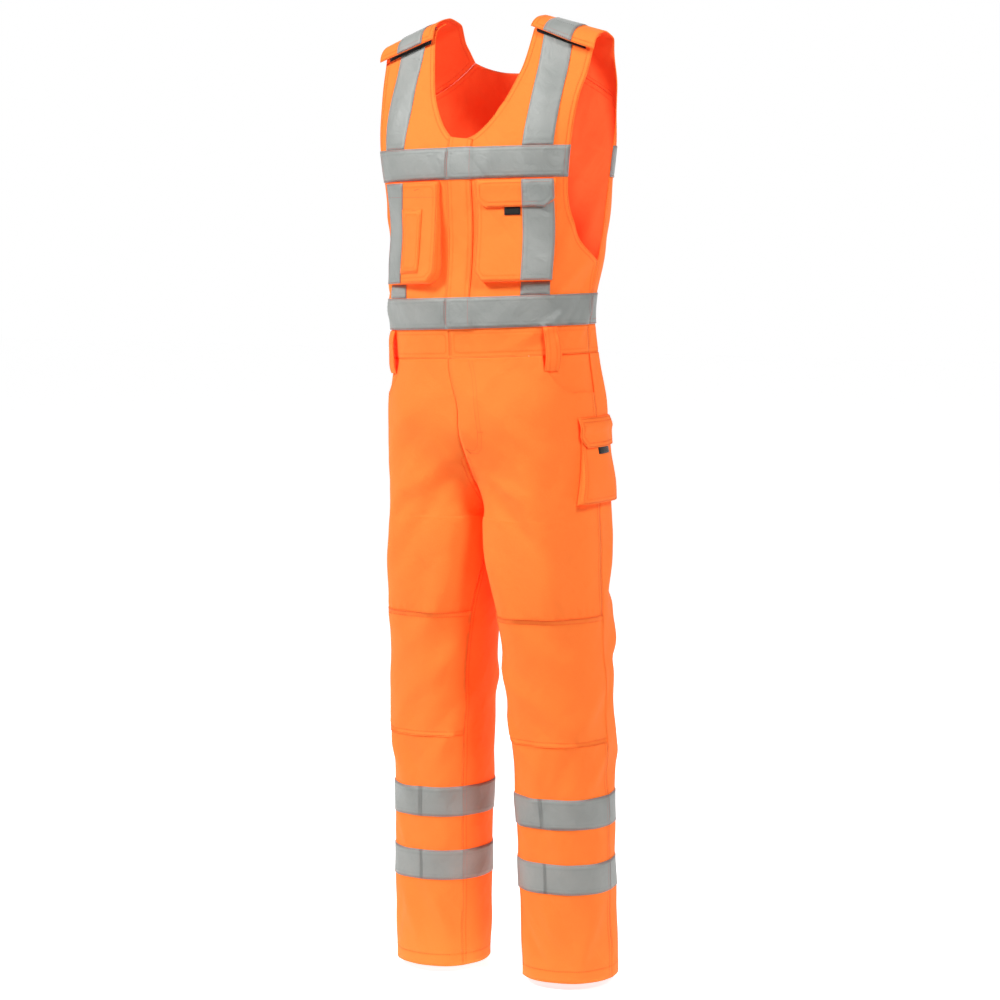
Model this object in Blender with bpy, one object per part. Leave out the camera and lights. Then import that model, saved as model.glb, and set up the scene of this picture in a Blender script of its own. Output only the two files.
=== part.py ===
"""Bib overalls in high-visibility work cloth, filled out as if worn, with no wearer inside.

Metres, +Z up.  The front of the garment faces -Y and the wearer's left side is +X.  The origin
lies midway between the two shoulder straps, at the top of the shoulders, where a wearer holds
the garment up.  Every panel is a wall of cloth cut from one of two surfaces, the body (bib and
waistband) and the legs; what is sewn on a panel is made from the same points, moved out.
"""

from collections import namedtuple
from math import asin, cos, exp, pi, radians, sin

import bpy
from mathutils import Vector

for leftover in list(bpy.data.objects):
    bpy.data.objects.remove(leftover, do_unlink=True)

# --- driving sizes ---------------------------------------------------------------------------

CLOTH = 0.0016            # one panel of work cloth
TAPE = 0.0010             # reflective tape, 50 mm wide
HOOK = 0.0012             # one half of the hook-and-loop closing
TAB = 0.0012              # small black woven tab
GAP = 0.0003              # between two pieces that touch

SHOULDER = -0.030         # where the strap begins to turn over the shoulder
CHEST_TAPE = (-0.256, -0.206)
WAIST_TAPE = (-0.492, -0.442)
WAISTBAND = (-0.5385, -0.492)
UNDERARM = -0.390
NECK_FRONT = -0.194
NECK_BACK = -0.080
FORK = -0.650             # the seat seam leaves the flat front and runs in between the legs
CROTCH = -0.800
HEM = -1.558
UPPER_LEG_TAPE = (-1.302, -1.252)
LOWER_LEG_TAPE = (-1.410, -1.360)
KNEE_POCKET = (-1.165, -0.955)
CARGO_POCKET = (-0.772, -0.655)
CHEST_POCKET = (-0.420, -0.264)

BRACE_IN = 0.105          # the braces of tape run straight up and down between these
BRACE_OUT = 0.147
BRACE_MIDDLE = (BRACE_IN + BRACE_OUT) / 2
WRAP = 0.100              # what the place across counts from the brace's edge to the side seam
SIDE = BRACE_OUT + WRAP
PLACKET = (-0.0195, 0.023)    # the wearer's left laps over the right
WAISTBAND_SPLIT = -0.014
POCKET_IN = 0.033         # the chest pockets' inner edges
PEN_PATCH_IN = 0.062
NECK = 0.090              # half of the neck's width between the front straps
STRAP_IN = 0.086          # and between the back straps, which lie over them
GRIP = (0.094, 0.160)     # the hook-and-loop strips' edges
LEFT_FALL = 0.27          # how much a shoulder drops for each metre out; the right hangs lower
RIGHT_FALL = 0.37
BODY_POWER = 2.3          # 2 is an ellipse, more is squarer
LEG_POWER = 2.2
CROTCH_CURVE = 1.4        # 1 runs straight in between the legs, 2 is a quarter of an ellipse
FLY_LAP = 0.20            # how far past the centre the left front's surface is worked out
SEAM = 0.0006             # half of a leg seam's gap, as a share of a panel
CENTRE_STRIP = 0.02       # the folds keep off the cloth this near the garment's middle plane

# Half the body's width, its depth before and behind the side seam, the side seam's own place,
# how much higher the cloth hangs for each metre towards the wearer's left, and how much further
# out than its place the brace's outer edge runs.
Body = namedtuple("Body", "height half_width front back middle tilt spread")
FRONT_BODY = (
    Body(SHOULDER, 0.250, 0.056, 0.042, 0.009, 0.000, 0.0075),
    Body(-0.066, 0.240, 0.063, 0.078, 0.001, 0.000, 0.0075),
    Body(-0.130, 0.222, 0.094, 0.108, 0.000, 0.010, 0.0065),
    Body(-0.206, 0.202, 0.132, 0.124, 0.003, 0.020, 0.0030),
    Body(-0.256, 0.194, 0.136, 0.124, 0.005, 0.024, 0.0015),
    Body(-0.350, 0.183, 0.132, 0.119, 0.007, 0.028, -0.0020),
    Body(-0.400, 0.180, 0.128, 0.116, -0.001, 0.032, -0.0040),
    Body(-0.444, 0.175, 0.124, 0.114, -0.011, 0.036, -0.0040),
    Body(-0.494, 0.172, 0.121, 0.114, -0.012, 0.040, -0.0020),
    Body(-0.5385, 0.172, 0.123, 0.119, -0.007, 0.042, 0.0000),
    Body(-0.620, 0.181, 0.131, 0.132, -0.004, 0.028, 0.0000),
    Body(-0.700, 0.1835, 0.132, 0.138, 0.005, 0.010, 0.0000),
    Body(CROTCH, 0.184, 0.128, 0.130, 0.008, 0.000, 0.0000),
)
BACK_WIDTHS = {SHOULDER: 0.250, -0.066: 0.218, -0.130: 0.205, -0.206: 0.200}
BACK_BODY = tuple(row._replace(half_width=BACK_WIDTHS.get(row.height, row.half_width))
                  for row in FRONT_BODY)

# One leg: its middle, half its width and depth, where the inseam runs from the front, and how
# square the thigh's inner front is, where the cloth is full between the legs.
Leg = namedtuple("Leg", "height centre half_width half_depth middle inseam inner_power")
LEG = (
    Leg(FORK, 0.0917, 0.0917, 0.130, 0.003, -90, 2.2),
    Leg(CROTCH, 0.0919, 0.0919, 0.123, 0.006, -90, 2.8),
    Leg(-0.862, 0.0935, 0.0910, 0.114, 0.005, -76, 2.5),
    Leg(-0.930, 0.0980, 0.0885, 0.106, 0.006, -64, 2.3),
    Leg(-1.000, 0.1035, 0.0845, 0.099, 0.010, -58, 2.2),
    Leg(-1.110, 0.1095, 0.0820, 0.091, 0.018, -55, 2.2),
    Leg(-1.225, 0.1125, 0.0800, 0.086, 0.024, -53, 2.2),
    Leg(-1.385, 0.1160, 0.0780, 0.080, 0.029, -52, 2.2),
    Leg(HEM, 0.1190, 0.0765, 0.079, 0.034, -52, 2.2),
)

# Where the armhole cuts a panel, as a share of the way from the brace to the side seam.
Cut = namedtuple("Cut", "height share")
FRONT_ARMHOLE = (
    Cut(0.0, 0.190), Cut(-0.066, 0.205), Cut(-0.130, 0.210), Cut(-0.206, 0.240),
    Cut(-0.256, 0.225), Cut(-0.300, 0.255), Cut(-0.335, 0.370), Cut(-0.362, 0.570),
    Cut(UNDERARM, 1.0),
)
BACK_ARMHOLE = (
    Cut(0.0, 0.190), Cut(SHOULDER, 0.205), Cut(-0.080, 0.430), Cut(-0.130, 0.640),
    Cut(-0.206, 0.840), Cut(-0.300, 0.900), Cut(-0.360, 0.940), Cut(UNDERARM, 1.0),
)
SCOOP = (Cut(-0.557, 0.545), Cut(-0.577, 0.610), Cut(-0.591, 0.680), Cut(-0.598, 0.780),
         Cut(-0.5995, 0.900))
SCOOP_TOP = 0.528
SCOOP_FOOT = -0.600

# The largest folds, as soft ridges: place round the leg, height, length, width, lean and rise.
Fold = namedtuple("Fold", "turn height length width lean rise")
LEFT_FOLDS = (
    Fold(0.42, -0.800, 0.150, 0.030, 12, 0.0030),
    Fold(0.10, -1.075, 0.080, 0.022, -38, 0.0035),
    Fold(0.62, -1.130, 0.110, 0.024, 30, 0.0030),
    Fold(0.35, -1.470, 0.070, 0.018, -28, 0.0030),
    Fold(1.45, -0.930, 0.110, 0.026, 34, 0.0045),
    Fold(1.62, -1.080, 0.090, 0.022, -30, 0.0040),
    Fold(1.40, -1.330, 0.100, 0.024, 26, 0.0035),
)
RIGHT_FOLDS = (
    Fold(0.48, -0.820, 0.140, 0.030, -10, 0.0030),
    Fold(0.22, -1.085, 0.090, 0.022, -26, 0.0040),
    Fold(0.60, -1.150, 0.100, 0.022, 22, 0.0030),
    Fold(0.50, -1.470, 0.060, 0.018, 20, 0.0030),
    Fold(1.40, -0.950, 0.100, 0.026, -32, 0.0045),
    Fold(1.58, -1.120, 0.090, 0.022, 28, 0.0040),
    Fold(1.50, -1.350, 0.090, 0.022, -24, 0.0035),
)
LEG_GIRTH = 0.27          # one leg panel's rough width, which turns a share into metres

ORANGE = (1.0, 0.235, 0.020, 1.0)
SILVER = (0.42, 0.44, 0.42, 1.0)
BLACK = (0.012, 0.012, 0.013, 1.0)


# --- the two surfaces ------------------------------------------------------------------------

def read(rows, name, height):
    """A table's named column at a height, on a smooth curve through its rows, highest first."""
    if height >= rows[0].height:
        return getattr(rows[0], name)
    if height <= rows[-1].height:
        return getattr(rows[-1], name)
    place = next(i for i in range(len(rows) - 1) if rows[i + 1].height <= height)

    def slope(i):
        before, after = rows[max(i - 1, 0)], rows[min(i + 1, len(rows) - 1)]
        return (getattr(after, name) - getattr(before, name)) / (after.height - before.height)

    high, low = rows[place], rows[place + 1]
    span = low.height - high.height
    t = (height - high.height) / span
    return (getattr(high, name) * (1 + 2 * t) * (1 - t) ** 2 + slope(place) * span * t * (1 - t) ** 2
            + getattr(low, name) * t * t * (3 - 2 * t) + slope(place + 1) * span * t * t * (t - 1))


def ease(value, low, high):
    """0 below low, 1 above high, and a smooth step between them."""
    t = min(max((value - low) / (high - low), 0.0), 1.0)
    return t * t * (3 - 2 * t)


def signed_power(value, power):
    """Power that keeps the sign, for the squarish rings."""
    return abs(value) ** power if value >= 0 else -abs(value) ** power


def body_point(face, place, level):
    """A point of the body's outer face, where face is -1 in front and 1 behind.

    The place is X up to the braces' outer edges, and from there on the share of the way to the
    side seam.  The level is the height, and above SHOULDER it runs over the shoulder to 0.
    """
    rows = FRONT_BODY if face < 0 else BACK_BODY
    height = min(level, SHOULDER)
    turn_over = pi / 2 * max(0.0, min(level, 0.0) - SHOULDER) / -SHOULDER
    half = read(rows, "half_width", height)
    depth = read(rows, "front" if face < 0 else "back", height) * cos(turn_over)
    reach = min(abs(place), BRACE_OUT)
    reach += read(rows, "spread", height) * max(0.0, (reach - NECK) / (BRACE_OUT - NECK))
    angle = asin((reach / half) ** (BODY_POWER / 2))
    if abs(place) > BRACE_OUT:
        angle += (pi / 2 - angle) * (min(abs(place), SIDE) - BRACE_OUT) / WRAP
    x = half * sin(angle) ** (2 / BODY_POWER)
    y = read(rows, "middle", height) + face * depth * max(cos(angle), 0.0) ** (2 / BODY_POWER)
    slope = LEFT_FALL if place >= 0 else RIGHT_FALL
    fall = slope * max(0.0, x - STRAP_IN) * ease(level, -0.150, SHOULDER)
    x = x if place >= 0 else -x
    z = height - SHOULDER * sin(turn_over) - fall + read(rows, "tilt", height) * x
    return Vector((x, y, z))


def leg_folds(rows, turn, level):
    """How far the largest folds lift the cloth at one place of a leg."""
    lift = 0.0
    for fold in rows:
        across, up = (turn - fold.turn) * LEG_GIRTH, level - fold.height
        lean = radians(fold.lean)
        along = up * cos(lean) + across * sin(lean)
        aside = across * cos(lean) - up * sin(lean)
        lift += fold.rise * exp(-(along / fold.length) ** 2 - (aside / fold.width) ** 2)
    return lift


def leg_point(side, turn, level):
    """A point of the trousers' outer face on the left (side 1) or right (side -1).

    The turn is 0 at the front centre seam or the inseam, 1 at the outseam and 2 at the back
    centre seam or the inseam again.
    """
    turn = turn % 2 if level < CROTCH else min(max(turn, -FLY_LAP), 2.0)
    face, share = (-1, turn) if turn <= 1 else (1, 2 - turn)
    angle = share * pi / 2
    half = read(FRONT_BODY, "half_width", level)
    depth = read(FRONT_BODY, "front" if face < 0 else "back", level)
    trunk = Vector((half * signed_power(sin(angle), 2 / BODY_POWER),
                    read(FRONT_BODY, "middle", level)
                    + face * depth * max(cos(angle), 0.0) ** (2 / BODY_POWER)))
    inseam = read(LEG, "inseam", level)
    outseam = 90 if face < 0 else -270
    around = radians(inseam + (outseam - inseam) * share)
    inner_front = face < 0 and sin(around) < 0
    power = read(LEG, "inner_power", level) if inner_front else LEG_POWER
    ring = Vector((signed_power(sin(around), 2 / power) * read(LEG, "half_width", level),
                   -signed_power(cos(around), 2 / power) * read(LEG, "half_depth", level)))
    centre = Vector((read(LEG, "centre", level), read(LEG, "middle", level)))
    between = min(max((FORK - level) / (FORK - CROTCH), 0.0), 1.0)
    outward = ease(share, 0.0, 0.55)
    inward = 1 - (1 - between ** CROTCH_CURVE) ** (1 / CROTCH_CURVE)
    parted = inward * (1 - outward) + ease(-level, -FORK, -CROTCH + 0.12) * outward
    flat = trunk.lerp(centre + ring, parted)
    if flat.x > CENTRE_STRIP:
        flat += ring.normalized() * leg_folds(LEFT_FOLDS if side > 0 else RIGHT_FOLDS, turn, level)
    x = side * (flat.x + GAP / 2)
    return Vector((x, flat.y, level + read(FRONT_BODY, "tilt", level) * x))


def bib_front(place, level):
    return body_point(-1, place, level)


def bib_back(place, level):
    return body_point(1, place, level)


def left_leg(turn, level):
    return leg_point(1, turn, level)


def right_leg(turn, level):
    return leg_point(-1, turn, level)


# How far apart the surface is probed for its normal, and which way it then points.
Probe = namedtuple("Probe", "place level way")
PROBES = {
    bib_front: Probe(0.004, 0.003, 1), bib_back: Probe(0.004, 0.003, -1),
    left_leg: Probe(0.050, 0.008, 1), right_leg: Probe(0.050, 0.008, -1),
}


def normal(surface, place, level):
    """The direction out of the cloth at one place of a surface."""
    probe = PROBES[surface]
    across = surface(place + probe.place, level) - surface(place - probe.place, level)
    up = surface(place, level + probe.level) - surface(place, level - probe.level)
    return across.cross(up).normalized() * probe.way


# --- from nets of spots to walls of cloth ----------------------------------------------------

Spot = namedtuple("Spot", "place level point normal")


def net(surface, cells):
    """Rows of spots on a surface, from rows of (place, level)."""
    return [[Spot(place, level, surface(place, level), normal(surface, place, level))
             for place, level in row] for row in cells]


def part_of(rows, places=(-9, 9), levels=(-9, 9)):
    """The part of a net between two places and two levels, edges included."""
    slack = 1e-6
    kept = [[spot for spot in row if places[0] - slack <= spot.place <= places[1] + slack
             and levels[0] - slack <= spot.level <= levels[1] + slack] for row in rows]
    return [row for row in kept if len(row) > 1]


def layer(rows, low, thick, tuck=0.0):
    """Rows of (place, inner point, outer point), low above the net and as thick as given.

    The low face may be a number or a function of the spot.  A tuck pulls the first and last
    rows in by that much, along the net, so that pieces in line don't touch.
    """
    wall_rows = []
    for number, row in enumerate(rows):
        cells = []
        for i, spot in enumerate(row):
            base = low(spot) if callable(low) else low
            shift = Vector((0, 0, 0))
            if tuck and number in (0, len(rows) - 1):
                beside = rows[1] if number == 0 else rows[-2]
                nearest = min(beside, key=lambda other: abs(other.place - spot.place))
                shift = (nearest.point - spot.point).normalized() * tuck
            point = spot.point + shift
            cells.append((spot.place, point + spot.normal * base,
                          point + spot.normal * (base + thick)))
        wall_rows.append(cells)
    return wall_rows


def knit(below, above, first, second):
    """Triangles between two rows of places, given the number of each row's first corner."""
    faces, i, j = [], 0, 0
    while i < len(below) - 1 or j < len(above) - 1:
        last_below, last_above = i == len(below) - 1, j == len(above) - 1
        if last_above or (not last_below and below[i + 1] <= above[j + 1] + 1e-9):
            faces.append((first + i, first + i + 1, second + j))
            i += 1
        else:
            faces.append((first + i, second + j + 1, second + j))
            j += 1
    return faces


MATERIALS = {}


def material(name, colour, roughness, metallic=0.0):
    """A plain finish, made once."""
    if name not in MATERIALS:
        finish = bpy.data.materials.new(name)
        finish.use_nodes = True
        shader = finish.node_tree.nodes["Principled BSDF"]
        shader.inputs["Base Color"].default_value = colour
        shader.inputs["Roughness"].default_value = roughness
        shader.inputs["Metallic"].default_value = metallic
        MATERIALS[name] = finish
    return MATERIALS[name]


FINISHES = {
    "cloth": ("orange_cloth", ORANGE, 0.85),
    "tape": ("reflective_tape", SILVER, 0.45, 0.3),
    "hook": ("hook_and_loop", BLACK, 0.95),
    "tab": ("black_tab", BLACK, 0.7),
}


def wall(name, rows, finish, ring=False):
    """One closed piece of cloth, from rows of (place, inner point, outer point)."""
    inner, outer, starts, places = [], [], [], []
    for row in rows:
        starts.append(len(outer))
        places.append([cell[0] for cell in row])
        inner += [cell[1] for cell in row]
        outer += [cell[2] for cell in row]
    skin = []
    for number in range(len(rows) - 1):
        below, above = places[number], places[number + 1]
        skin += knit(below, above, starts[number], starts[number + 1])
        if ring:
            a, b = starts[number] + len(below) - 1, starts[number + 1] + len(above) - 1
            skin += [(a, starts[number], b), (starts[number], starts[number + 1], b)]
    open_edges = {}
    for face in skin:
        for a, b in zip(face, face[1:] + face[:1]):
            if (b, a) in open_edges:
                del open_edges[b, a]
            else:
                open_edges[a, b] = True
    count = len(outer)
    faces = [face for face in skin] + [tuple(count + i for i in reversed(face)) for face in skin]
    for a, b in open_edges:
        faces += [(b, a, count + a), (b, count + a, count + b)]
    mesh = bpy.data.meshes.new(name)
    corners = outer + inner
    volume = sum(corners[a].dot(corners[b].cross(corners[c])) for a, b, c in faces)
    if volume < 0:
        faces = [face[::-1] for face in faces]
    mesh.from_pydata(corners, [], faces)
    mesh.materials.append(material(*FINISHES[finish]))
    piece = bpy.data.objects.new(name, mesh)
    bpy.context.scene.collection.objects.link(piece)
    return piece


# --- the nets of the panels ------------------------------------------------------------------

ASIDE = tuple(BRACE_OUT + WRAP * share for share in (0.25, 0.50, 0.75))
COLUMNS = (0.0, POCKET_IN, PEN_PATCH_IN, BRACE_IN, BRACE_MIDDLE, BRACE_OUT) + ASIDE + (SIDE,)
MERGE = 0.004             # a column this near to an edge is left out of that row


def columns(start, end, extra=()):
    """The body's columns from one edge to another, on either side of the middle."""
    both = sorted({sign * place for place in COLUMNS + extra for sign in (-1, 1)})
    return [start] + [place for place in both if start + MERGE < place < end - MERGE] + [end]


def mirrored(rows):
    """Rows of cells on the other side of the garment."""
    return [[(-place, level) for place, level in reversed(row)] for row in rows]


NECK_ROUND = {"left": 0.47, "right": 0.55}    # less is rounder; it hangs fuller on the left


def neck_front(hand, level):
    """Half of the neck opening's width at a height, in front."""
    depth = min(max(level / NECK_FRONT, 0.0), 1.0)
    return NECK * (1 - depth ** 1.7) ** NECK_ROUND[hand]


def armhole(rows, level):
    """The place where an armhole or the side seam ends a row."""
    return BRACE_OUT + WRAP * read(rows, "share", level)


BIB_LEVELS = (-0.492, -0.467, -0.442, -0.420, -0.400, UNDERARM, -0.372, -0.355, -0.330, -0.300,
              -0.277, -0.256, -0.231, -0.206, NECK_FRONT)
FLAP_END = -0.0270        # the flap's free edge, on the front strap
LOOP_END = -0.0282        # the loop strip shows a little below it
NECK_LEVELS = (-0.190, -0.182, -0.168, -0.148, -0.122, -0.094, -0.066)
ARCH = (SHOULDER * 0.75, SHOULDER * 0.58, SHOULDER * 0.38, SHOULDER * 0.15)
STRAP_MIDDLE = 0.129      # a front strap's middle and half its width, as places
STRAP_HALF = 0.043
# How far down each flap reaches, as a share, and how much lower towards the armhole.
Drop = namedtuple("Drop", "share slant")
FLAP_DROP = {"left": Drop(0.95, 0.10), "right": Drop(1.15, -0.10)}


def slanted(hand, place, level):
    """A row's height over a front strap, where the rows run the way the flap's free edge does."""
    drop = FLAP_DROP[hand]
    return level * drop.share * (1 + drop.slant * (abs(place) - STRAP_MIDDLE) / STRAP_HALF)


def front_cells(hand):
    """Half of the bib's front, from the waist to the end of its strap, as if on the left."""
    rows = [[(place, level) for place in columns(GAP / 2, armhole(FRONT_ARMHOLE, level) - GAP / 2)]
            for level in BIB_LEVELS]
    rows += [[(place, level)
              for place in columns(neck_front(hand, level), armhole(FRONT_ARMHOLE, level))]
             for level in NECK_LEVELS]
    rows += [[(place, slanted(hand, place, level))
              for place in columns(neck_front(hand, level), armhole(FRONT_ARMHOLE, level), GRIP)]
             for level in (LOOP_END, FLAP_END) + ARCH]
    return rows


SEAM_TOP = (0.079, -0.062)    # the strap's slanted seam on the back, at the neck
SEAM_FOOT = -0.148            # and at the armhole


def seam_level(place):
    """Height of the seam between the back panel and a back strap."""
    share = (abs(place) - SEAM_TOP[0]) / (armhole(BACK_ARMHOLE, SEAM_FOOT) - SEAM_TOP[0])
    return SEAM_TOP[1] + (SEAM_FOOT - SEAM_TOP[1]) * share


def back_top(place):
    """The back panel's upper edge: the neck in the middle and the strap seams beside it."""
    if abs(place) < SEAM_TOP[0]:
        return NECK_BACK + (SEAM_TOP[1] - NECK_BACK) * (abs(place) / SEAM_TOP[0]) ** 2.6
    return seam_level(place)


BACK_LEVELS = (-0.492, -0.467, -0.442, -0.420, UNDERARM, -0.355, -0.325, -0.290, -0.256, -0.231,
               -0.206, -0.185, -0.165)
TOP_STEPS = 3


def back_cells():
    """The whole back of the bib, from the waist to the neck and the strap seams."""
    rows = []
    for level in BACK_LEVELS:
        end = armhole(BACK_ARMHOLE, level) - GAP / 2
        rows.append([(place, level) for place in columns(-end, end)])
    end = armhole(BACK_ARMHOLE, SEAM_FOOT)
    places = sorted(set(columns(-end, end)) | {-SEAM_TOP[0], SEAM_TOP[0]})
    for step in range(1, TOP_STEPS + 1):
        share = step / TOP_STEPS
        rows.append([(place, BACK_LEVELS[-1] + share * (back_top(place) - GAP - BACK_LEVELS[-1]))
                     for place in places])
    return rows


def strap_cells():
    """A back strap, from its slanted seam up to the shoulder, on the wearer's left."""
    rows = []
    for step in range(TOP_STEPS + 1):
        share = step / TOP_STEPS
        start = SEAM_TOP[0] + share * (STRAP_IN - SEAM_TOP[0])
        foot_end = armhole(BACK_ARMHOLE, SEAM_FOOT)
        end = foot_end + share * (armhole(BACK_ARMHOLE, SHOULDER) - foot_end)
        rows.append([(place, seam_level(place) + share * (SHOULDER - seam_level(place)))
                     for place in columns(start, end)])
    return rows


FRONT = net(bib_front, front_cells("left"))
FRONT_OTHER = net(bib_front, mirrored(front_cells("right")))
BACK = net(bib_back, back_cells())
FRONTS = {"left": FRONT, "right": FRONT_OTHER}


def sided(name, low, high):
    """A span of places on the wearer's left, or its mirror image."""
    return (low, high) if name == "left" else (-high, -low)


# --- bib: fronts, placket, back and straps ---------------------------------------------------

for hand, rows in FRONTS.items():
    wall("bib_front_" + hand, layer(rows, -CLOTH, CLOTH, tuck=GAP / 2), "cloth")
wall("bib_back", layer(BACK, -CLOTH, CLOTH, tuck=GAP / 2), "cloth")


PLACKET_TIP = (0.0012, -0.1876) # the width left at its upper corner, and the corner's height


def placket_cells():
    """The strip that covers the front closing, cut along the neck at its top."""
    rows = [[(PLACKET[0], level), (0.0, level), (PLACKET[1], level)]
            for level in BIB_LEVELS[:-1]]
    rows.append([(PLACKET[0], NECK_FRONT), (0.0, NECK_FRONT), (PLACKET[1], NECK_FRONT - GAP)])
    rows.append([(PLACKET[0], NECK_LEVELS[0]), (-neck_front("right", NECK_LEVELS[0]), NECK_LEVELS[0])])
    width, level = PLACKET_TIP
    rows.append([(PLACKET[0], level), (PLACKET[0] + width, level)])
    return rows


wall("placket", layer(net(bib_front, placket_cells()), GAP, CLOTH, tuck=GAP / 2), "cloth")

FLAP_LOW = 3 * GAP + TAPE + 2 * HOOK      # clear of the brace and both hook-and-loop strips
FLAP_OPEN = 0.0050                        # how much more its free end stands off
FLAP_LEVELS = (0.0, ARCH[3], ARCH[2], ARCH[1], ARCH[0], FLAP_END)
FLAP_WIDER = 0.003                        # the flap reaches this far past the armhole's edge
CLIMB_FROM = -0.060                       # where the back strap leaves the back panel's level


def flap_lift(spot):
    """The flap's rise over the front strap, more towards its free end."""
    return FLAP_LOW + FLAP_OPEN * ease(-spot.level, 0.0, -FLAP_END)


def strap_net(hand):
    """Back strap and flap in one run: up the back, over the shoulder and down the front."""
    turn = mirrored if hand == "right" else list
    places = columns(STRAP_IN, armhole(BACK_ARMHOLE, 0.0) + FLAP_WIDER, GRIP)
    behind = strap_cells() + [[(place, level) for place in places] for level in ARCH[1:3]]
    ahead = [[(place, slanted(hand, place, level)) for place in places] for level in FLAP_LEVELS]
    return net(bib_back, turn(behind)), net(bib_front, turn(ahead))


STRAPS = {hand: strap_net(hand) for hand in FRONTS}


def strap_lift(spot):
    """The back strap leaves the back panel's level and climbs over the front strap's end."""
    return (FLAP_LOW + CLOTH) * ease(spot.level, CLIMB_FROM, ARCH[2]) - CLOTH


for hand, (behind, ahead) in STRAPS.items():
    rows = layer(behind, strap_lift, CLOTH)
    wall("back_strap_" + hand, rows + layer(ahead, flap_lift, CLOTH), "cloth")
    cells = [[(place, slanted(hand, place, level)) for place in columns(*sided(hand, *GRIP))]
             for level in FLAP_LEVELS[2:] + (LOOP_END,)]
    strips = net(bib_front, cells)
    wall("loop_strip_" + hand, layer(strips, 2 * GAP + TAPE, HOOK), "hook")
    lifted = layer(strips[:-1], lambda spot: flap_lift(spot) - GAP - HOOK, HOOK)
    wall("hook_strip_" + hand, lifted, "hook")


# --- bib: reflective tape --------------------------------------------------------------------

OVER_PLACKET = CLOTH + GAP
STEP_DOWN = 0.0065        # where a tape comes down from the placket to the front
BESIDE = 0.001            # a tape's corner this near the placket still lies on it


def tape_lift(spot):
    """Tape lies on the front, and on the placket where it crosses it."""
    on_placket = PLACKET[0] - BESIDE < spot.place < PLACKET[1] + BESIDE
    return GAP + (OVER_PLACKET if on_placket else 0.0)


def band_cells(levels, start, end_at):
    """A band of tape across the front, from a start to where end_at ends each row."""
    rows = []
    for level in levels:
        places = columns(PLACKET[1] + STEP_DOWN, end_at(level))
        rows.append([(place, level) for place in [start, 0.0, PLACKET[1]] + places])
    return rows


def chest_end(level):
    """The chest tape ends at the armhole."""
    return armhole(FRONT_ARMHOLE, level)


def waist_end(level):
    """The waist tape ends at the side seam."""
    return SIDE - GAP / 2


def levels_of(band, steps=2):
    """Heights of a band's rows, from its lower to its upper edge."""
    return [band[0] + (band[1] - band[0]) * step / steps for step in range(steps + 1)]


Band = namedtuple("Band", "name levels end_at")
for name, band, end_at in (Band("chest_tape", CHEST_TAPE, chest_end),
                           Band("waist_tape", WAIST_TAPE, waist_end)):
    over = net(bib_front, band_cells(levels_of(band), PLACKET[0], end_at))
    wall(name + "_left", layer(over, tape_lift, TAPE), "tape")
    plain = [[(place, level) for place in columns(-PLACKET[0] + 2 * GAP, end_at(level))]
             for level in levels_of(band)]
    wall(name + "_right", layer(net(bib_front, mirrored(plain)), GAP, TAPE), "tape")
    wall(name + "_back", layer(part_of(BACK, levels=band), GAP, TAPE), "tape")

BRACE_GAP = 2 * GAP       # between a brace's end and the tape that it meets


def shorten(rows, low=0.0, high=0.0):
    """A net with its first and last rows pulled in along the panel."""
    first = [Spot(a.place, a.level, a.point + (b.point - a.point).normalized() * low, a.normal)
             for a, b in zip(rows[0], rows[1])]
    last = [Spot(a.place, a.level, a.point + (b.point - a.point).normalized() * high, a.normal)
            for a, b in zip(rows[-1], rows[-2])]
    return [first] + rows[1:-1] + [last]


BRACE_TOP = SHOULDER * 0.66    # a front brace ends under the hook-and-loop strips


for hand in FRONTS:
    brace = sided(hand, BRACE_IN, BRACE_OUT)
    runs = {
        "brace_front_upper_": part_of(FRONTS[hand], brace, (CHEST_TAPE[1], BRACE_TOP * FLAP_DROP[hand].share)),
        "brace_front_lower_": part_of(FRONTS[hand], brace, (WAIST_TAPE[1], CHEST_POCKET[0])),
        "brace_back_upper_": part_of(BACK, brace, (CHEST_TAPE[1], 0.0)),
        "brace_back_lower_": part_of(BACK, brace, (WAIST_TAPE[1], CHEST_TAPE[0])),
    }
    for name, rows in runs.items():
        wall(name + hand, layer(shorten(rows, BRACE_GAP, BRACE_GAP), GAP, TAPE), "tape")
    behind, ahead = STRAPS[hand]
    over_back = shorten(part_of(behind, brace), BRACE_GAP, 0.0)
    over = layer(over_back, lambda spot: strap_lift(spot) + CLOTH + GAP, TAPE)
    over += layer(shorten(part_of(ahead, brace), 0.0, BRACE_GAP),
                  lambda spot: flap_lift(spot) + CLOTH + GAP, TAPE)
    wall("brace_strap_" + hand, over, "tape")

# --- waistband and belt loops ----------------------------------------------------------------

BAND_LEVELS = (WAISTBAND[0] + GAP, sum(WAISTBAND) / 2, WAISTBAND[1] - GAP)
BAND_SPANS = {"left": (WAISTBAND_SPLIT, SIDE - GAP / 2),
              "right": (-SIDE + GAP / 2, WAISTBAND_SPLIT - GAP)}
for hand, (start, end) in BAND_SPANS.items():
    cells = [[(place, level) for place in columns(start, end)] for level in BAND_LEVELS]
    wall("waistband_front_" + hand, layer(net(bib_front, cells), -CLOTH, CLOTH), "cloth")
cells = [[(place, level) for place in columns(-SIDE + GAP / 2, SIDE - GAP / 2)]
         for level in BAND_LEVELS]
wall("waistband_back", layer(net(bib_back, cells), -CLOTH, CLOTH), "cloth")

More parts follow.
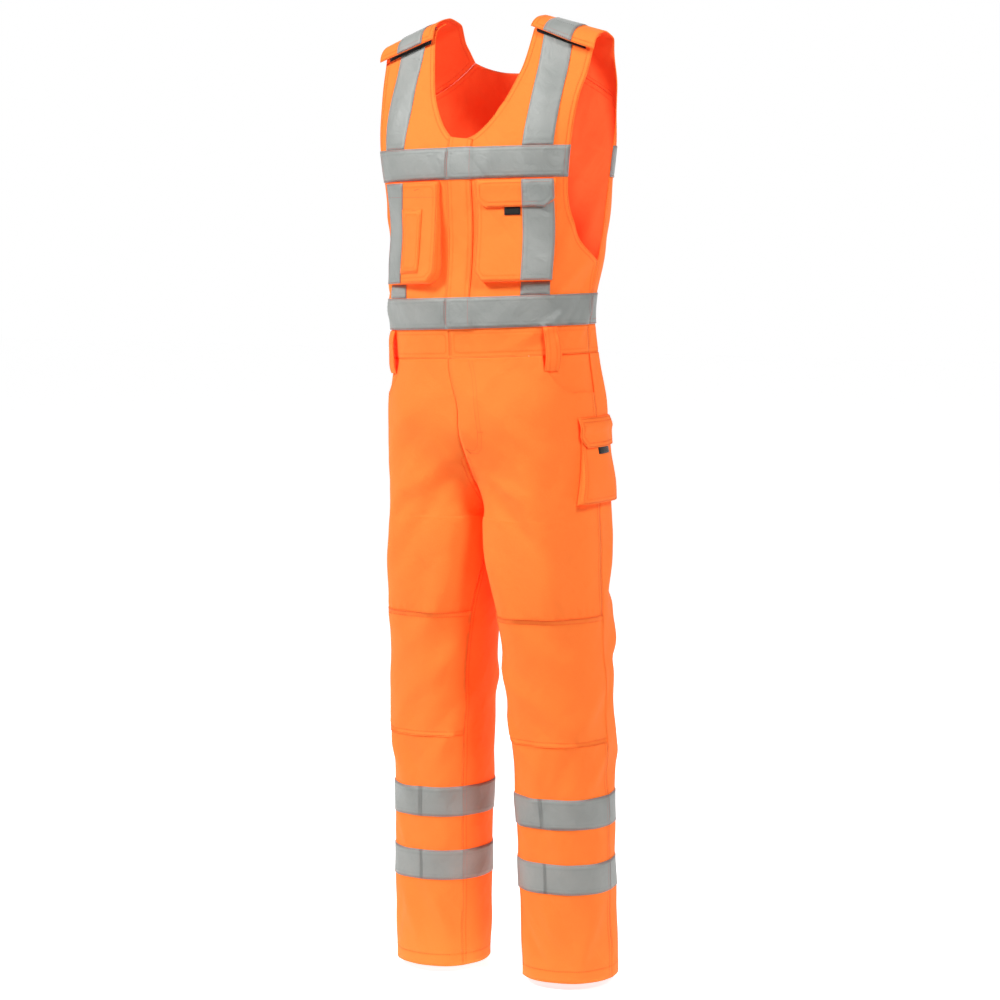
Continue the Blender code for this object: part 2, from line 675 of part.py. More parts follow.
FACING = -CLOTH - 3 * GAP # the round pockets' facings lie behind the trouser panels
LOOP_WIDTH = 0.022
LOOP_LEVELS = (-0.563, -0.558, -0.549, -0.538, -0.524, -0.510, -0.4985, -0.4935)
LOOP_STAND_OFF = 0.0060   # how far the middle of a belt loop stands off the waistband
LOOP_TOP = 1.5 * GAP      # its upper end is sewn on just below the waist tape
LOOP_FOOT = 2 * GAP       # and its lower end over the top of the trousers
Loop = namedtuple("Loop", "name surface place")
BELT_LOOPS = (
    Loop("belt_loop_front_left", bib_front, 0.146), Loop("belt_loop_front_right", bib_front, -0.146),
    Loop("belt_loop_back_left", bib_back, 0.088), Loop("belt_loop_back_right", bib_back, -0.088),
)


def bowed(spot):
    """A belt loop bows out between its two sewn ends."""
    share = (spot.level - LOOP_LEVELS[0]) / (LOOP_LEVELS[-1] - LOOP_LEVELS[0])
    ends = LOOP_FOOT + (LOOP_TOP - LOOP_FOOT) * ease(share, 0.0, 0.35)
    return ends + LOOP_STAND_OFF * (1 - abs(2 * share - 1) ** 3)


for loop in BELT_LOOPS:
    cells = [[(loop.place - LOOP_WIDTH / 2, level), (loop.place, level),
              (loop.place + LOOP_WIDTH / 2, level)] for level in LOOP_LEVELS]
    wall(loop.name, layer(net(loop.surface, cells), bowed, CLOTH), "cloth")

# --- trousers --------------------------------------------------------------------------------

LEG_LEVELS = (HEM, -1.505, -1.455, -1.410, -1.385, -1.360, -1.331, -1.302, -1.277, -1.252,
              -1.210, -1.165, -1.112, -1.060, -1.007, -0.955, -0.915, -0.875, -0.840, -0.815,
              CROTCH, -0.795, -0.785, -0.772, -0.745, -0.715, -0.682, FORK)
TOP_LEVELS = (-0.620, SCOOP_FOOT, -0.577, -0.557, WAISTBAND[0] - GAP)
FLY_TOP = 0.046           # the left front laps over the right by this share at the waistband
FLY_FOOT = -0.625         # and meets it edge to edge from here down
PANEL_COLUMNS = 9
LATTICE = [step / (PANEL_COLUMNS - 1) for step in range(PANEL_COLUMNS)]
FACING_SPAN = (LATTICE[3], 1 + LATTICE[1])    # behind the scoop and past the side seam
NEAR_EDGE = 0.02          # a column this near to a panel's edge is left out of that row


def turns(start, end):
    """The leg's columns between two places round it."""
    lattice = LATTICE[1:-1] + [1.0] + [2 - share for share in reversed(LATTICE[1:-1])]
    inside = [turn for turn in lattice if start + NEAR_EDGE < turn < end - NEAR_EDGE]
    return [start] + inside + [end]


def fly(hand, level):
    """Where a trouser front begins: at the centre, or at the slanted edge of the fly above."""
    lap = FLY_TOP * ease(level, FLY_FOOT, TOP_LEVELS[-1])
    return SEAM - lap if hand == "left" else SEAM + lap


def front_panel_cells(hand):
    """A trouser front, with the scoop of its round pocket cut out at the top outside."""
    ends = [(level, 1 - SEAM) for level in LEG_LEVELS + TOP_LEVELS[:2]]
    ends += [(cut.height, cut.share) for cut in reversed(SCOOP)]
    ends.append((TOP_LEVELS[-1], SCOOP_TOP))
    return [[(turn, level) for turn in turns(fly(hand, level), end)] for level, end in ends]


def back_panel_cells():
    """A trouser back."""
    return [[(turn, level) for turn in turns(1 + SEAM, 2 - SEAM)]
            for level in LEG_LEVELS + TOP_LEVELS]


LEGS = {"left": left_leg, "right": right_leg}
LEG_FRONTS = {hand: net(surface, front_panel_cells(hand)) for hand, surface in LEGS.items()}
LEG_BACKS = {hand: net(surface, back_panel_cells()) for hand, surface in LEGS.items()}

for hand, surface in LEGS.items():
    wall("trouser_front_" + hand, layer(LEG_FRONTS[hand], -CLOTH, CLOTH), "cloth")
    wall("trouser_back_" + hand, layer(LEG_BACKS[hand], -CLOTH, CLOTH), "cloth")
    cells = [[(turn, level) for turn in turns(*FACING_SPAN)] for level in TOP_LEVELS]
    wall("pocket_facing_" + hand, layer(net(surface, cells), FACING - CLOTH, CLOTH), "cloth")
    knee = part_of(LEG_FRONTS[hand], levels=KNEE_POCKET)
    wall("knee_pocket_" + hand, layer(knee, GAP, CLOTH), "cloth")
    for name, band in (("upper", UPPER_LEG_TAPE), ("lower", LOWER_LEG_TAPE)):
        front = part_of(LEG_FRONTS[hand], levels=band)
        back = part_of(LEG_BACKS[hand], levels=band)
        rows = [ahead + behind for ahead, behind in zip(front, back)]
        wall("leg_tape_" + name + "_" + hand, layer(rows, GAP, TAPE), "tape", ring=True)


# --- pockets that stand off their panels -----------------------------------------------------

POCKET_OUT = 0.149
EDGE = 0.0005             # how far a pocket's side leans in over its depth
UNDER_FLAP = 2 * GAP + TAB    # room for tape or a tab between a pocket's face and its flap
Pocket = namedtuple("Pocket", "surface places levels depth wall corner corner_first")


def pocket_wall(name, pocket):
    """A patch pocket with its sides and bottom, open at the top; returns its face as a net.

    The places and the wall across are in the surface's own units.  The corner is how far the
    lower row is cut back at the first place or at the last one.
    """
    first, last = pocket.places[0], pocket.places[-1]
    places = [first, first + EDGE] + list(pocket.places[1:-1]) + [last - EDGE, last]
    levels = [pocket.levels[0], pocket.levels[0] + EDGE] + list(pocket.levels[1:])
    rows, face = [], []
    for j, level in enumerate(levels):
        row = []
        for i, place in enumerate(places):
            base = i in (0, len(places) - 1) or j == 0
            cut = pocket.corner if j < 2 else 0.0
            near_first, near_last = i < 2, i > len(places) - 3
            if near_first and pocket.corner_first:
                place += cut
            if near_last and not pocket.corner_first:
                place -= cut
            inner_place = place + pocket.wall * (near_first - near_last)
            inner_level = level + (CLOTH if j < 2 else 0.0)
            rise = GAP if base else pocket.depth(place, level)
            outer = pocket.surface(place, level) + normal(pocket.surface, place, level) * rise
            deeper = GAP if base else rise - CLOTH
            inner = (pocket.surface(inner_place, inner_level)
                     + normal(pocket.surface, inner_place, inner_level) * deeper)
            row.append((i, inner, outer, place, level))
        rows.append([cell[:3] for cell in row])
        if j > 0:
            face.append([cell[2:] for cell in row[1:-1]])
    wall(name, rows, "cloth")
    way = PROBES[pocket.surface].way
    spots = []
    for j, row in enumerate(face):
        below, above = face[max(j - 1, 0)], face[min(j + 1, len(face) - 1)]
        spots.append([])
        for i, (point, place, level) in enumerate(row):
            across = row[min(i + 1, len(row) - 1)][0] - row[max(i - 1, 0)][0]
            out = across.cross(above[i][0] - below[i][0]).normalized() * way
            spots[-1].append(Spot(place, level, point, out))
    return spots


def spot_on(face, place, level):
    """A spot between the corners of a net, on the flat between them."""
    j = max(k for k in range(len(face) - 1) if k == 0 or face[k][0].level <= level)
    ends = []
    for row in face[j:j + 2]:
        i = max(k for k in range(len(row) - 1) if k == 0 or row[k].place <= place)
        a, b = row[i], row[i + 1]
        t = (place - a.place) / (b.place - a.place)
        ends.append((a.level + (b.level - a.level) * t, a.point.lerp(b.point, t),
                     a.normal.lerp(b.normal, t)))
    low, high = ends
    t = (level - low[0]) / (high[0] - low[0])
    return Spot(place, level, low[1].lerp(high[1], t), low[2].lerp(high[2], t).normalized())


def tab_on(name, face, places, levels):
    """A small black tab on a pocket's face, its upper edge under the flap."""
    cells = [[spot_on(face, place, level) for place in places] for level in levels]
    wall(name, layer(cells, GAP, TAB), "tab")


CHEST_LEVELS = (CHEST_POCKET[0], -0.404, -0.370, -0.335, -0.301, -0.2885, -0.276, CHEST_POCKET[1])
CHEST_PLACES = (POCKET_IN, PEN_PATCH_IN, BRACE_IN, BRACE_MIDDLE, BRACE_OUT, POCKET_OUT)
CHEST_CORNER = 0.012      # how far its lower inner corner is cut back
FULL = -0.400             # the chest pockets have their whole depth from here down
POCKET_TOP = 0.0035       # how far a chest pocket's mouth stands off
LEFT_FULLER = 0.0095      # and how much more its bottom does
RIGHT_MOUTH = 0.004       # the right one's mouth gapes along its inner side
RIGHT_FULLER = 0.004
RIGHT_INNER = 0.010


def left_depth(place, level):
    """The left chest pocket fills out towards its bottom."""
    return POCKET_TOP + LEFT_FULLER * ease(-level, -CHEST_POCKET[1], -FULL)


def right_depth(place, level):
    """The right one stands off most along its inner side."""
    inward = ease(-abs(place), -BRACE_OUT, -POCKET_IN)
    fuller = RIGHT_FULLER + RIGHT_INNER * inward
    return POCKET_TOP + RIGHT_MOUTH * inward + fuller * ease(-level, -CHEST_POCKET[1], -FULL)


OTHER_CHEST_PLACES = tuple(-place for place in reversed(CHEST_PLACES))
LEFT_CHEST = Pocket(bib_front, CHEST_PLACES, CHEST_LEVELS, left_depth, CLOTH, CHEST_CORNER, True)
OPEN_LEVELS = CHEST_LEVELS[:-1] + (-0.2585,)    # the open pocket reaches a little higher
RIGHT_CHEST = Pocket(bib_front, OTHER_CHEST_PLACES, OPEN_LEVELS, right_depth, CLOTH,
                     CHEST_CORNER, False)
left_face = pocket_wall("chest_pocket_left", LEFT_CHEST)
right_face = pocket_wall("chest_pocket_right", RIGHT_CHEST)
for hand, face in (("left", left_face), ("right", right_face)):
    strip = part_of(face, sided(hand, BRACE_IN, BRACE_OUT))
    wall("chest_pocket_tape_" + hand, layer(shorten(strip, GAP, GAP), GAP, TAPE), "tape")
pen = [[spot_on(right_face, place, level) for place in (-BRACE_IN + 2 * GAP, -PEN_PATCH_IN)]
       for level in CHEST_LEVELS[1:5]]
wall("pen_patch", layer(pen, GAP, CLOTH), "cloth")


FlapRow = namedtuple("FlapRow", "level lift cut")


def flap(name, pocket, places, rows):
    """A pocket flap, from its seam on the panel down to its cut-off corners.

    Each row gives its height, how far it lies above the panel, or above the pocket's face once
    it is below the pocket's mouth, and how much is cut off at both ends.
    """
    spots = []
    for level, lift, cut in reversed(rows):
        ends = [places[0] + cut, places[-1] - cut]
        inside = [min(max(place, ends[0] + EDGE), ends[1] - EDGE) for place in places[1:-1]]
        row = net(pocket.surface, [[(place, level) for place in [ends[0]] + inside + [ends[1]]]])[0]
        over_pocket = level < pocket.levels[-1] + GAP
        spots.append([])
        for spot in row:
            rise = lift + (pocket.depth(spot.place, level) if over_pocket else 0.0)
            spots[-1].append(spot._replace(point=spot.point + spot.normal * rise))
    wall(name, layer(spots, 0.0, CLOTH), "cloth")
    return spots


CHEST_FLAP_SEAM = -0.2580
CHEST_FLAP = (
    FlapRow(CHEST_FLAP_SEAM, GAP, 0.0), FlapRow(CHEST_LEVELS[7], UNDER_FLAP, 0.0),
    FlapRow(CHEST_LEVELS[6], UNDER_FLAP, 0.0), FlapRow(CHEST_LEVELS[5], UNDER_FLAP, 0.0),
    FlapRow(CHEST_LEVELS[4], UNDER_FLAP, 0.014),
)
CHEST_TAB = (0.078, 0.090, 0.102)
flap_net = flap("chest_pocket_flap", LEFT_CHEST, CHEST_PLACES, CHEST_FLAP)
strip = part_of(flap_net, (BRACE_IN, BRACE_OUT + GAP / 2))
strip = [[spot._replace(point=spot.point + spot.normal * CLOTH) for spot in row] for row in strip]
wall("chest_flap_tape", layer(shorten(strip, GAP, GAP), GAP, TAPE), "tape")
tab_on("chest_tab", left_face, CHEST_TAB, (-0.314, CHEST_LEVELS[4], -0.296))

CARGO_PLACES = (0.800, 0.875, 1.000, 1.125, 1.250, 1.375)
CARGO_LEVELS = (CARGO_POCKET[0], -0.745, -0.715, -0.684, -0.669, CARGO_POCKET[1])
CARGO_TOP = 0.003         # how far the cargo pocket's mouth stands off the leg
CARGO_FULLER = 0.006      # how much more its bottom does
CARGO_FRONT = 0.006       # and how much more again along its front edge


def cargo_depth(turn, level):
    """The cargo pocket's bellows stand it off the leg, most of all at its front."""
    forward = ease(-turn, -1.05, -0.85)
    fuller = CARGO_FULLER + CARGO_FRONT * forward
    return CARGO_TOP + fuller * ease(-level, 0.665, 0.750)


CARGO = Pocket(left_leg, CARGO_PLACES, CARGO_LEVELS, cargo_depth, CLOTH / LEG_GIRTH, 0.0, True)
CARGO_FLAP_PLACES = [0.785] + list(CARGO_PLACES[1:-1]) + [1.390]
CARGO_FLAP = (
    FlapRow(-0.638, 3 * GAP, 0.0), FlapRow(-0.652, 0.006, 0.0), FlapRow(-0.660, UNDER_FLAP, 0.0),
    FlapRow(CARGO_LEVELS[4], UNDER_FLAP, 0.0), FlapRow(CARGO_LEVELS[3], UNDER_FLAP, 0.055),
)
CARGO_TAB = (0.955, CARGO_PLACES[2], 1.105)
cargo_face = pocket_wall("cargo_pocket", CARGO)
flap("cargo_flap", CARGO, CARGO_FLAP_PLACES, CARGO_FLAP)
tab_on("cargo_tab", cargo_face, CARGO_TAB, (-0.695, CARGO_LEVELS[3], -0.676))
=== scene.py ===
"""Bib overalls in fluorescent orange work cloth, filled out as if worn, with no wearer inside.

Metres, +Z up, in the construction's own frame: the garment's front faces -Y and the wearer's
left is +X.  Each section dresses one group of pieces, in the order in which they are sewn.
"""

from collections import namedtuple
from math import atan, cos, pi, radians, sin

import bmesh
import bpy
import numpy as np
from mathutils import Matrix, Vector
from mathutils.bvhtree import BVHTree
from mathutils.kdtree import KDTree


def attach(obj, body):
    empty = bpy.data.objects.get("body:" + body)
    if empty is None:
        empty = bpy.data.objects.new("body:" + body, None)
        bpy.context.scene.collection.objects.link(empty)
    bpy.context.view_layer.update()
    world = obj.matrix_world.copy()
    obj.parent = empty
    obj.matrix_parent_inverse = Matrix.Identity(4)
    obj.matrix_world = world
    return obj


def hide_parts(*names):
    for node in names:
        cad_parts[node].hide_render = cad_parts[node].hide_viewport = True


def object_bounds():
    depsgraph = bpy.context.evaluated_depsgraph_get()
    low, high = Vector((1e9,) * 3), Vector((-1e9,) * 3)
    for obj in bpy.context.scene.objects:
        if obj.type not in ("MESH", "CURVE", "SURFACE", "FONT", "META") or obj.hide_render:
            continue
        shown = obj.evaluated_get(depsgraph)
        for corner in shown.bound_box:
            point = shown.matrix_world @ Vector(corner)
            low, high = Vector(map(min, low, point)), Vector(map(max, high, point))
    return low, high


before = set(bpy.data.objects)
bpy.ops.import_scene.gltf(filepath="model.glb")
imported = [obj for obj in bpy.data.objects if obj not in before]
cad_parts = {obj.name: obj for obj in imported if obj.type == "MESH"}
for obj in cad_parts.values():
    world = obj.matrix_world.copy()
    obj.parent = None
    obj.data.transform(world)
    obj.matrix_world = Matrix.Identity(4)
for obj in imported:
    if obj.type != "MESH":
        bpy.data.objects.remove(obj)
cad_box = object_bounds()
bpy.ops.object.select_all(action="DESELECT")

# --- camera, floor and light -----------------------------------------------------------------
# The garment is seen from its front left, a little from above, through a long lens.  It is held
# up at its shoulders, so the white floor lies just under the hems.  The floor brightens under the
# garment and the sky behind it.  Two lamps stand in front and a third fills the back.

VIEW_TURN = radians(28)
VIEW_DISTANCE = 4.6
VIEW_HEIGHT = -0.32
LENS_LENGTH = 101.6           # millimetres, on a sensor 36 mm wide
LENS_PIXELS = 2822            # the same length in the picture's pixels
HORIZON_ABOVE = 280           # the horizon's pixels above the middle of the picture
VIEW_DIP = atan(HORIZON_ABOVE / LENS_PIXELS)
VIEW_ASIDE = 0.005
LIT_HEIGHT = -0.6             # the lamps are turned to the garment's middle at this height
FLOOR = cad_box[0][2] - 0.012

lens = bpy.data.cameras.new("camera")
lens.sensor_width = 36
lens.lens = LENS_LENGTH
lens.clip_end = 60
camera = bpy.data.objects.new("camera", lens)
bpy.context.scene.collection.objects.link(camera)
camera.location = (VIEW_DISTANCE * sin(VIEW_TURN) + VIEW_ASIDE * cos(VIEW_TURN),
                   -VIEW_DISTANCE * cos(VIEW_TURN) + VIEW_ASIDE * sin(VIEW_TURN), VIEW_HEIGHT)
camera.rotation_euler = (pi / 2 - VIEW_DIP, 0, VIEW_TURN)
bpy.context.scene.camera = camera


def brighter_behind(tree, direction, dim, bright, low, high):
    """A grey that rises from dim to bright, as the way behind the garment goes from low to high."""
    away = tree.nodes.new("ShaderNodeVectorMath")
    away.operation = "DOT_PRODUCT"
    away.inputs[1].default_value = (-sin(VIEW_TURN), cos(VIEW_TURN), 0)
    tree.links.new(direction, away.inputs[0])
    rise = tree.nodes.new("ShaderNodeMapRange")
    rise.interpolation_type = "SMOOTHSTEP"
    for socket, value in (("From Min", low), ("From Max", high), ("To Min", dim), ("To Max", bright)):
        rise.inputs[socket].default_value = value
    tree.links.new(away.outputs["Value"], rise.inputs["Value"])
    return rise.outputs["Result"]


bpy.ops.mesh.primitive_plane_add(size=40, location=(0, 0, FLOOR))
floor = bpy.context.object
floor.name = "floor"
pale = bpy.data.materials.new("pale_floor")
pale.use_nodes = True
pale_shader = pale.node_tree.nodes["Principled BSDF"]
pale_shader.inputs["Base Color"].default_value = (0.70, 0.70, 0.70, 1)
pale_shader.inputs["Roughness"].default_value = 0.9
pale_shader.inputs["Specular IOR Level"].default_value = 0.1
pale_shader.inputs["Emission Strength"].default_value = 1.0
floor_place = pale.node_tree.nodes.new("ShaderNodeTexCoord").outputs["Object"]
floor_glow = brighter_behind(pale.node_tree, floor_place, dim=0.0, bright=0.92, low=-0.45, high=0.05)
pale.node_tree.links.new(floor_glow, pale_shader.inputs["Emission Color"])
floor.data.materials.append(pale)

Lamp = namedtuple("Lamp", "name turn height distance size power")
LAMPS = (
    Lamp("key_left", -34, 2.2, 3.2, 0.9, 150),
    Lamp("key_right", 66, 1.8, 3.4, 0.9, 90),
    Lamp("back_fill", 205, 0.9, 3.6, 2.4, 30),
)
for lamp in LAMPS:
    light = bpy.data.lights.new(lamp.name, "AREA")
    light.size = lamp.size
    light.energy = lamp.power
    shine = bpy.data.objects.new(lamp.name, light)
    bpy.context.scene.collection.objects.link(shine)
    turn = radians(lamp.turn)
    shine.location = (lamp.distance * sin(turn), -lamp.distance * cos(turn), lamp.height)
    aim = Vector((0, 0, LIT_HEIGHT)) - shine.location
    shine.rotation_euler = aim.to_track_quat("-Z", "Y").to_euler()

world = bpy.data.worlds.new("studio")
world.use_nodes = True
sky_way = world.node_tree.nodes.new("ShaderNodeTexCoord").outputs["Generated"]
sky_glow = brighter_behind(world.node_tree, sky_way, dim=0.07, bright=1.0, low=0.84, high=0.95)
world.node_tree.links.new(sky_glow, world.node_tree.nodes["Background"].inputs["Strength"])
world.node_tree.nodes["Background"].inputs["Color"].default_value = (1, 1, 1, 1)
bpy.context.scene.world = world
bpy.context.scene.view_settings.view_transform = "Standard"

# --- trousers --------------------------------------------------------------------------------
# Two fronts and two backs of 300 g twill, joined by flat-felled seams at the outseams, inseams
# and centre.  The cloth hangs in long soft folds that start at the crotch and break at the knee.

LEG_LINE = ((0.70, 1.11, 1.56), (0.092, 0.1095, 0.119), (0.004, 0.018, 0.034))
TRUNK_HALVES = (0.180, 0.125)
LEG_HALVES = (0.082, 0.095)
LEGS_FROM, LEGS_BY = 0.70, 0.84     # depths below the shoulder where two legs take over
TRUNK_RADIUS, LEG_RADIUS = 0.150, 0.085
TRUNK_DEGREE, LEG_DEGREE = 0.0027, 0.0015      # one degree round the trunk or a leg, in metres


def smooth(value, low, high):
    """0 below low, 1 above high, and a soft step between them."""
    t = np.clip((value - low) / (high - low), 0, 1)
    return t * t * (3 - 2 * t)


def unit(vectors):
    return vectors / np.maximum(np.linalg.norm(vectors, axis=-1, keepdims=True), 1e-9)


def leg_place(points):
    """Across and behind the middle of the nearer leg, the first counted towards the outside."""
    x, y, z = points.T
    centre = np.interp(-z, LEG_LINE[0], LEG_LINE[1])
    middle = np.interp(-z, LEG_LINE[0], LEG_LINE[2])
    return np.abs(x) - centre, y - middle


def outward(points):
    """The way out of the garment: round the trunk, round each leg, and up over the shoulders."""
    x, y, z = points.T
    top = np.maximum(z + 0.05, 0)
    level_off = 1 - smooth(z, -0.05, 0)
    trunk = unit(np.stack([x / TRUNK_HALVES[0] ** 2 * level_off, y / TRUNK_HALVES[1] ** 2,
                           top / 0.01], axis=1))
    aside, behind = leg_place(points)
    leg = unit(np.stack([aside * np.sign(x) / LEG_HALVES[0] ** 2, behind / LEG_HALVES[1] ** 2,
                         0 * z], axis=1))
    share = smooth(-z, LEGS_FROM, LEGS_BY)[:, None]
    return unit(trunk * (1 - share) + leg * share)


# One soft fold of the cloth: where its middle is, in degrees round from the front towards the
# outside (or the wearer's left) and in metres up, half its length, its lean, width and rise, and
# how far its ends bow aside.
Crease = namedtuple("Crease", "around height length lean width rise bow", defaults=[0.2])
LEFT_LEG_CREASES = (
    Crease(12, -0.740, 0.060, -24, 0.013, 0.0030, 0.3),
    Crease(-6, -0.790, 0.075, -30, 0.015, -0.0030),
    Crease(22, -0.860, 0.120, -10, 0.020, 0.0030),
    Crease(48, -0.900, 0.130, 7, 0.024, -0.0028, -0.3),
    Crease(-28, -0.900, 0.110, -16, 0.018, 0.0036, 0.3),
    Crease(-52, -0.960, 0.120, -12, 0.018, -0.0030),
    Crease(30, -1.020, 0.050, -48, 0.013, 0.0022),
    Crease(-25, -1.075, 0.060, -52, 0.014, 0.0034, -0.2),
    Crease(5, -1.125, 0.055, -44, 0.014, -0.0026),
    Crease(-42, -1.150, 0.060, -40, 0.014, 0.0030),
    Crease(62, -1.110, 0.070, 34, 0.015, 0.0028),
    Crease(36, -1.190, 0.070, 20, 0.016, -0.0024, -0.2),
    Crease(70, -1.215, 0.060, 40, 0.014, 0.0022),
    Crease(-8, -1.225, 0.060, 15, 0.015, 0.0022),
    Crease(20, -1.330, 0.050, -30, 0.013, 0.0018),
    Crease(-36, -1.300, 0.060, -30, 0.014, 0.0020),
    Crease(10, -1.470, 0.055, -34, 0.013, 0.0030, 0.3),
    Crease(-20, -1.500, 0.045, -38, 0.012, -0.0024),
    Crease(55, -1.480, 0.060, 22, 0.015, 0.0024),
    Crease(95, -0.700, 0.080, -12, 0.018, 0.0024),
    Crease(110, -0.860, 0.100, 14, 0.020, 0.0030),
    Crease(150, -0.800, 0.090, 40, 0.020, 0.0050, 0.3),
    Crease(172, -0.860, 0.090, 48, 0.018, -0.0040, 0.3),
    Crease(200, -0.830, 0.070, 30, 0.016, 0.0044),
    Crease(140, -0.960, 0.110, 24, 0.020, 0.0036),
    Crease(180, -1.000, 0.080, -50, 0.016, 0.0040),
    Crease(150, -1.060, 0.070, -60, 0.015, -0.0036),
    Crease(190, -1.100, 0.070, 56, 0.015, 0.0040),
    Crease(165, -1.150, 0.070, 50, 0.015, 0.0034),
    Crease(130, -1.180, 0.080, -30, 0.016, 0.0030),
    Crease(170, -1.330, 0.080, -24, 0.016, 0.0024),
    Crease(150, -1.480, 0.060, 30, 0.015, 0.0028),
)
RIGHT_LEG_CREASES = (
    Crease(10, -0.745, 0.060, -22, 0.013, 0.0028, 0.3),
    Crease(-10, -0.800, 0.080, -26, 0.014, -0.0030),
    Crease(30, -0.850, 0.120, -6, 0.022, 0.0028),
    Crease(-30, -0.900, 0.110, -12, 0.018, 0.0034, 0.3),
    Crease(60, -0.930, 0.110, 10, 0.022, -0.0026, -0.3),
    Crease(-6, -0.985, 0.070, -40, 0.014, 0.0024),
    Crease(-30, -1.050, 0.075, -36, 0.014, 0.0038),
    Crease(-8, -1.100, 0.080, -42, 0.015, -0.0030),
    Crease(20, -1.130, 0.070, -30, 0.015, 0.0030),
    Crease(-40, -1.160, 0.060, -30, 0.013, 0.0028),
    Crease(50, -1.170, 0.070, 26, 0.016, 0.0026),
    Crease(4, -1.225, 0.060, 18, 0.014, -0.0022),
    Crease(30, -1.330, 0.050, 26, 0.013, 0.0018),
    Crease(-20, -1.450, 0.055, 30, 0.013, 0.0026),
    Crease(12, -1.480, 0.050, 22, 0.013, 0.0024),
    Crease(45, -1.490, 0.050, -26, 0.013, -0.0020),
    Crease(95, -0.690, 0.080, 12, 0.018, 0.0024),
    Crease(118, -0.900, 0.100, -10, 0.020, 0.0030),
    Crease(152, -0.790, 0.090, 36, 0.020, 0.0048, 0.3),
    Crease(176, -0.850, 0.090, 44, 0.018, -0.0040, 0.3),
    Crease(202, -0.820, 0.070, 28, 0.016, 0.0042),
    Crease(132, -0.980, 0.110, 20, 0.020, 0.0034),
    Crease(186, -1.020, 0.080, -46, 0.016, 0.0042),
    Crease(156, -1.080, 0.070, -54, 0.015, -0.0034),
    Crease(184, -1.130, 0.070, 52, 0.015, 0.0038),
    Crease(140, -1.170, 0.080, -34, 0.016, 0.0030),
    Crease(168, -1.340, 0.080, 26, 0.016, 0.0024),
    Crease(190, -1.490, 0.060, -28, 0.015, 0.0026),
)
TRUNK_CREASES = (
    Crease(-4, -0.720, 0.050, -40, 0.011, 0.0022, 0.3),
    Crease(16, -0.735, 0.060, -56, 0.012, 0.0024, 0.3),
    Crease(-22, -0.730, 0.060, 50, 0.012, 0.0024, -0.3),
    Crease(30, -0.660, 0.070, -46, 0.016, 0.0020),
    Crease(-36, -0.650, 0.070, 44, 0.016, 0.0020),
    Crease(8, -0.620, 0.050, 12, 0.012, 0.0012),
    Crease(38, -0.500, 0.030, 52, 0.008, 0.0018),
    Crease(52, -0.476, 0.034, 48, 0.008, 0.0022),
    Crease(66, -0.466, 0.034, 42, 0.008, -0.0020),
    Crease(24, -0.470, 0.030, 40, 0.008, 0.0014),
    Crease(78, -0.480, 0.034, 36, 0.009, 0.0022),
    Crease(-30, -0.470, 0.030, -40, 0.008, 0.0016),
    Crease(-56, -0.465, 0.034, -46, 0.008, 0.0022),
    Crease(-70, -0.480, 0.034, -38, 0.008, -0.0018),
    Crease(6, -0.480, 0.026, 20, 0.008, 0.0012),
    Crease(60, -0.415, 0.045, 50, 0.011, 0.0026),
    Crease(76, -0.425, 0.045, 42, 0.011, -0.0022),
    Crease(-58, -0.420, 0.045, -50, 0.011, 0.0026),
    Crease(-14, -0.430, 0.040, -20, 0.011, 0.0016),
    Crease(14, -0.236, 0.030, 12, 0.009, 0.0012),
    Crease(34, -0.232, 0.030, -18, 0.009, 0.0016),
    Crease(48, -0.225, 0.030, 14, 0.008, -0.0012),
    Crease(-26, -0.228, 0.030, 16, 0.009, 0.0014),
    Crease(-44, -0.236, 0.030, -12, 0.009, 0.0012),
    Crease(46, -0.150, 0.060, 10, 0.012, 0.0014),
    Crease(-46, -0.150, 0.060, -10, 0.012, 0.0014),
    Crease(62, -0.330, 0.050, 20, 0.012, 0.0022),
    Crease(-60, -0.320, 0.050, -16, 0.012, 0.0020),
    Crease(176, -0.200, 0.110, 3, 0.013, 0.0030, 0.1),
    Crease(166, -0.230, 0.120, -4, 0.014, -0.0024, 0.1),
    Crease(196, -0.220, 0.110, 4, 0.013, 0.0028, 0.1),
    Crease(206, -0.240, 0.120, -3, 0.014, -0.0022, 0.1),
    Crease(186, -0.330, 0.120, 2, 0.018, 0.0026, 0.1),
    Crease(150, -0.350, 0.080, -30, 0.016, 0.0030),
    Crease(214, -0.350, 0.080, 30, 0.016, 0.0030),
    Crease(140, -0.430, 0.060, -52, 0.012, 0.0030),
    Crease(160, -0.450, 0.050, -40, 0.011, 0.0024),
    Crease(222, -0.430, 0.060, 50, 0.012, 0.0030),
    Crease(200, -0.455, 0.050, 42, 0.011, 0.0024),
    Crease(150, -0.560, 0.060, 22, 0.014, 0.0024),
    Crease(212, -0.570, 0.060, -22, 0.014, 0.0024),
    Crease(165, -0.680, 0.090, 30, 0.020, 0.0034),
    Crease(195, -0.680, 0.090, -30, 0.020, 0.0034),
    Crease(110, -0.600, 0.070, -16, 0.016, 0.0024),
    Crease(-110, -0.610, 0.070, 16, 0.016, 0.0024),
)


FOLD_STRENGTH = 1.7
TROUGH, TROUGH_ASIDE, TROUGH_WIDTH = 0.4, 1.8, 1.4      # shares of the ridge's rise and width


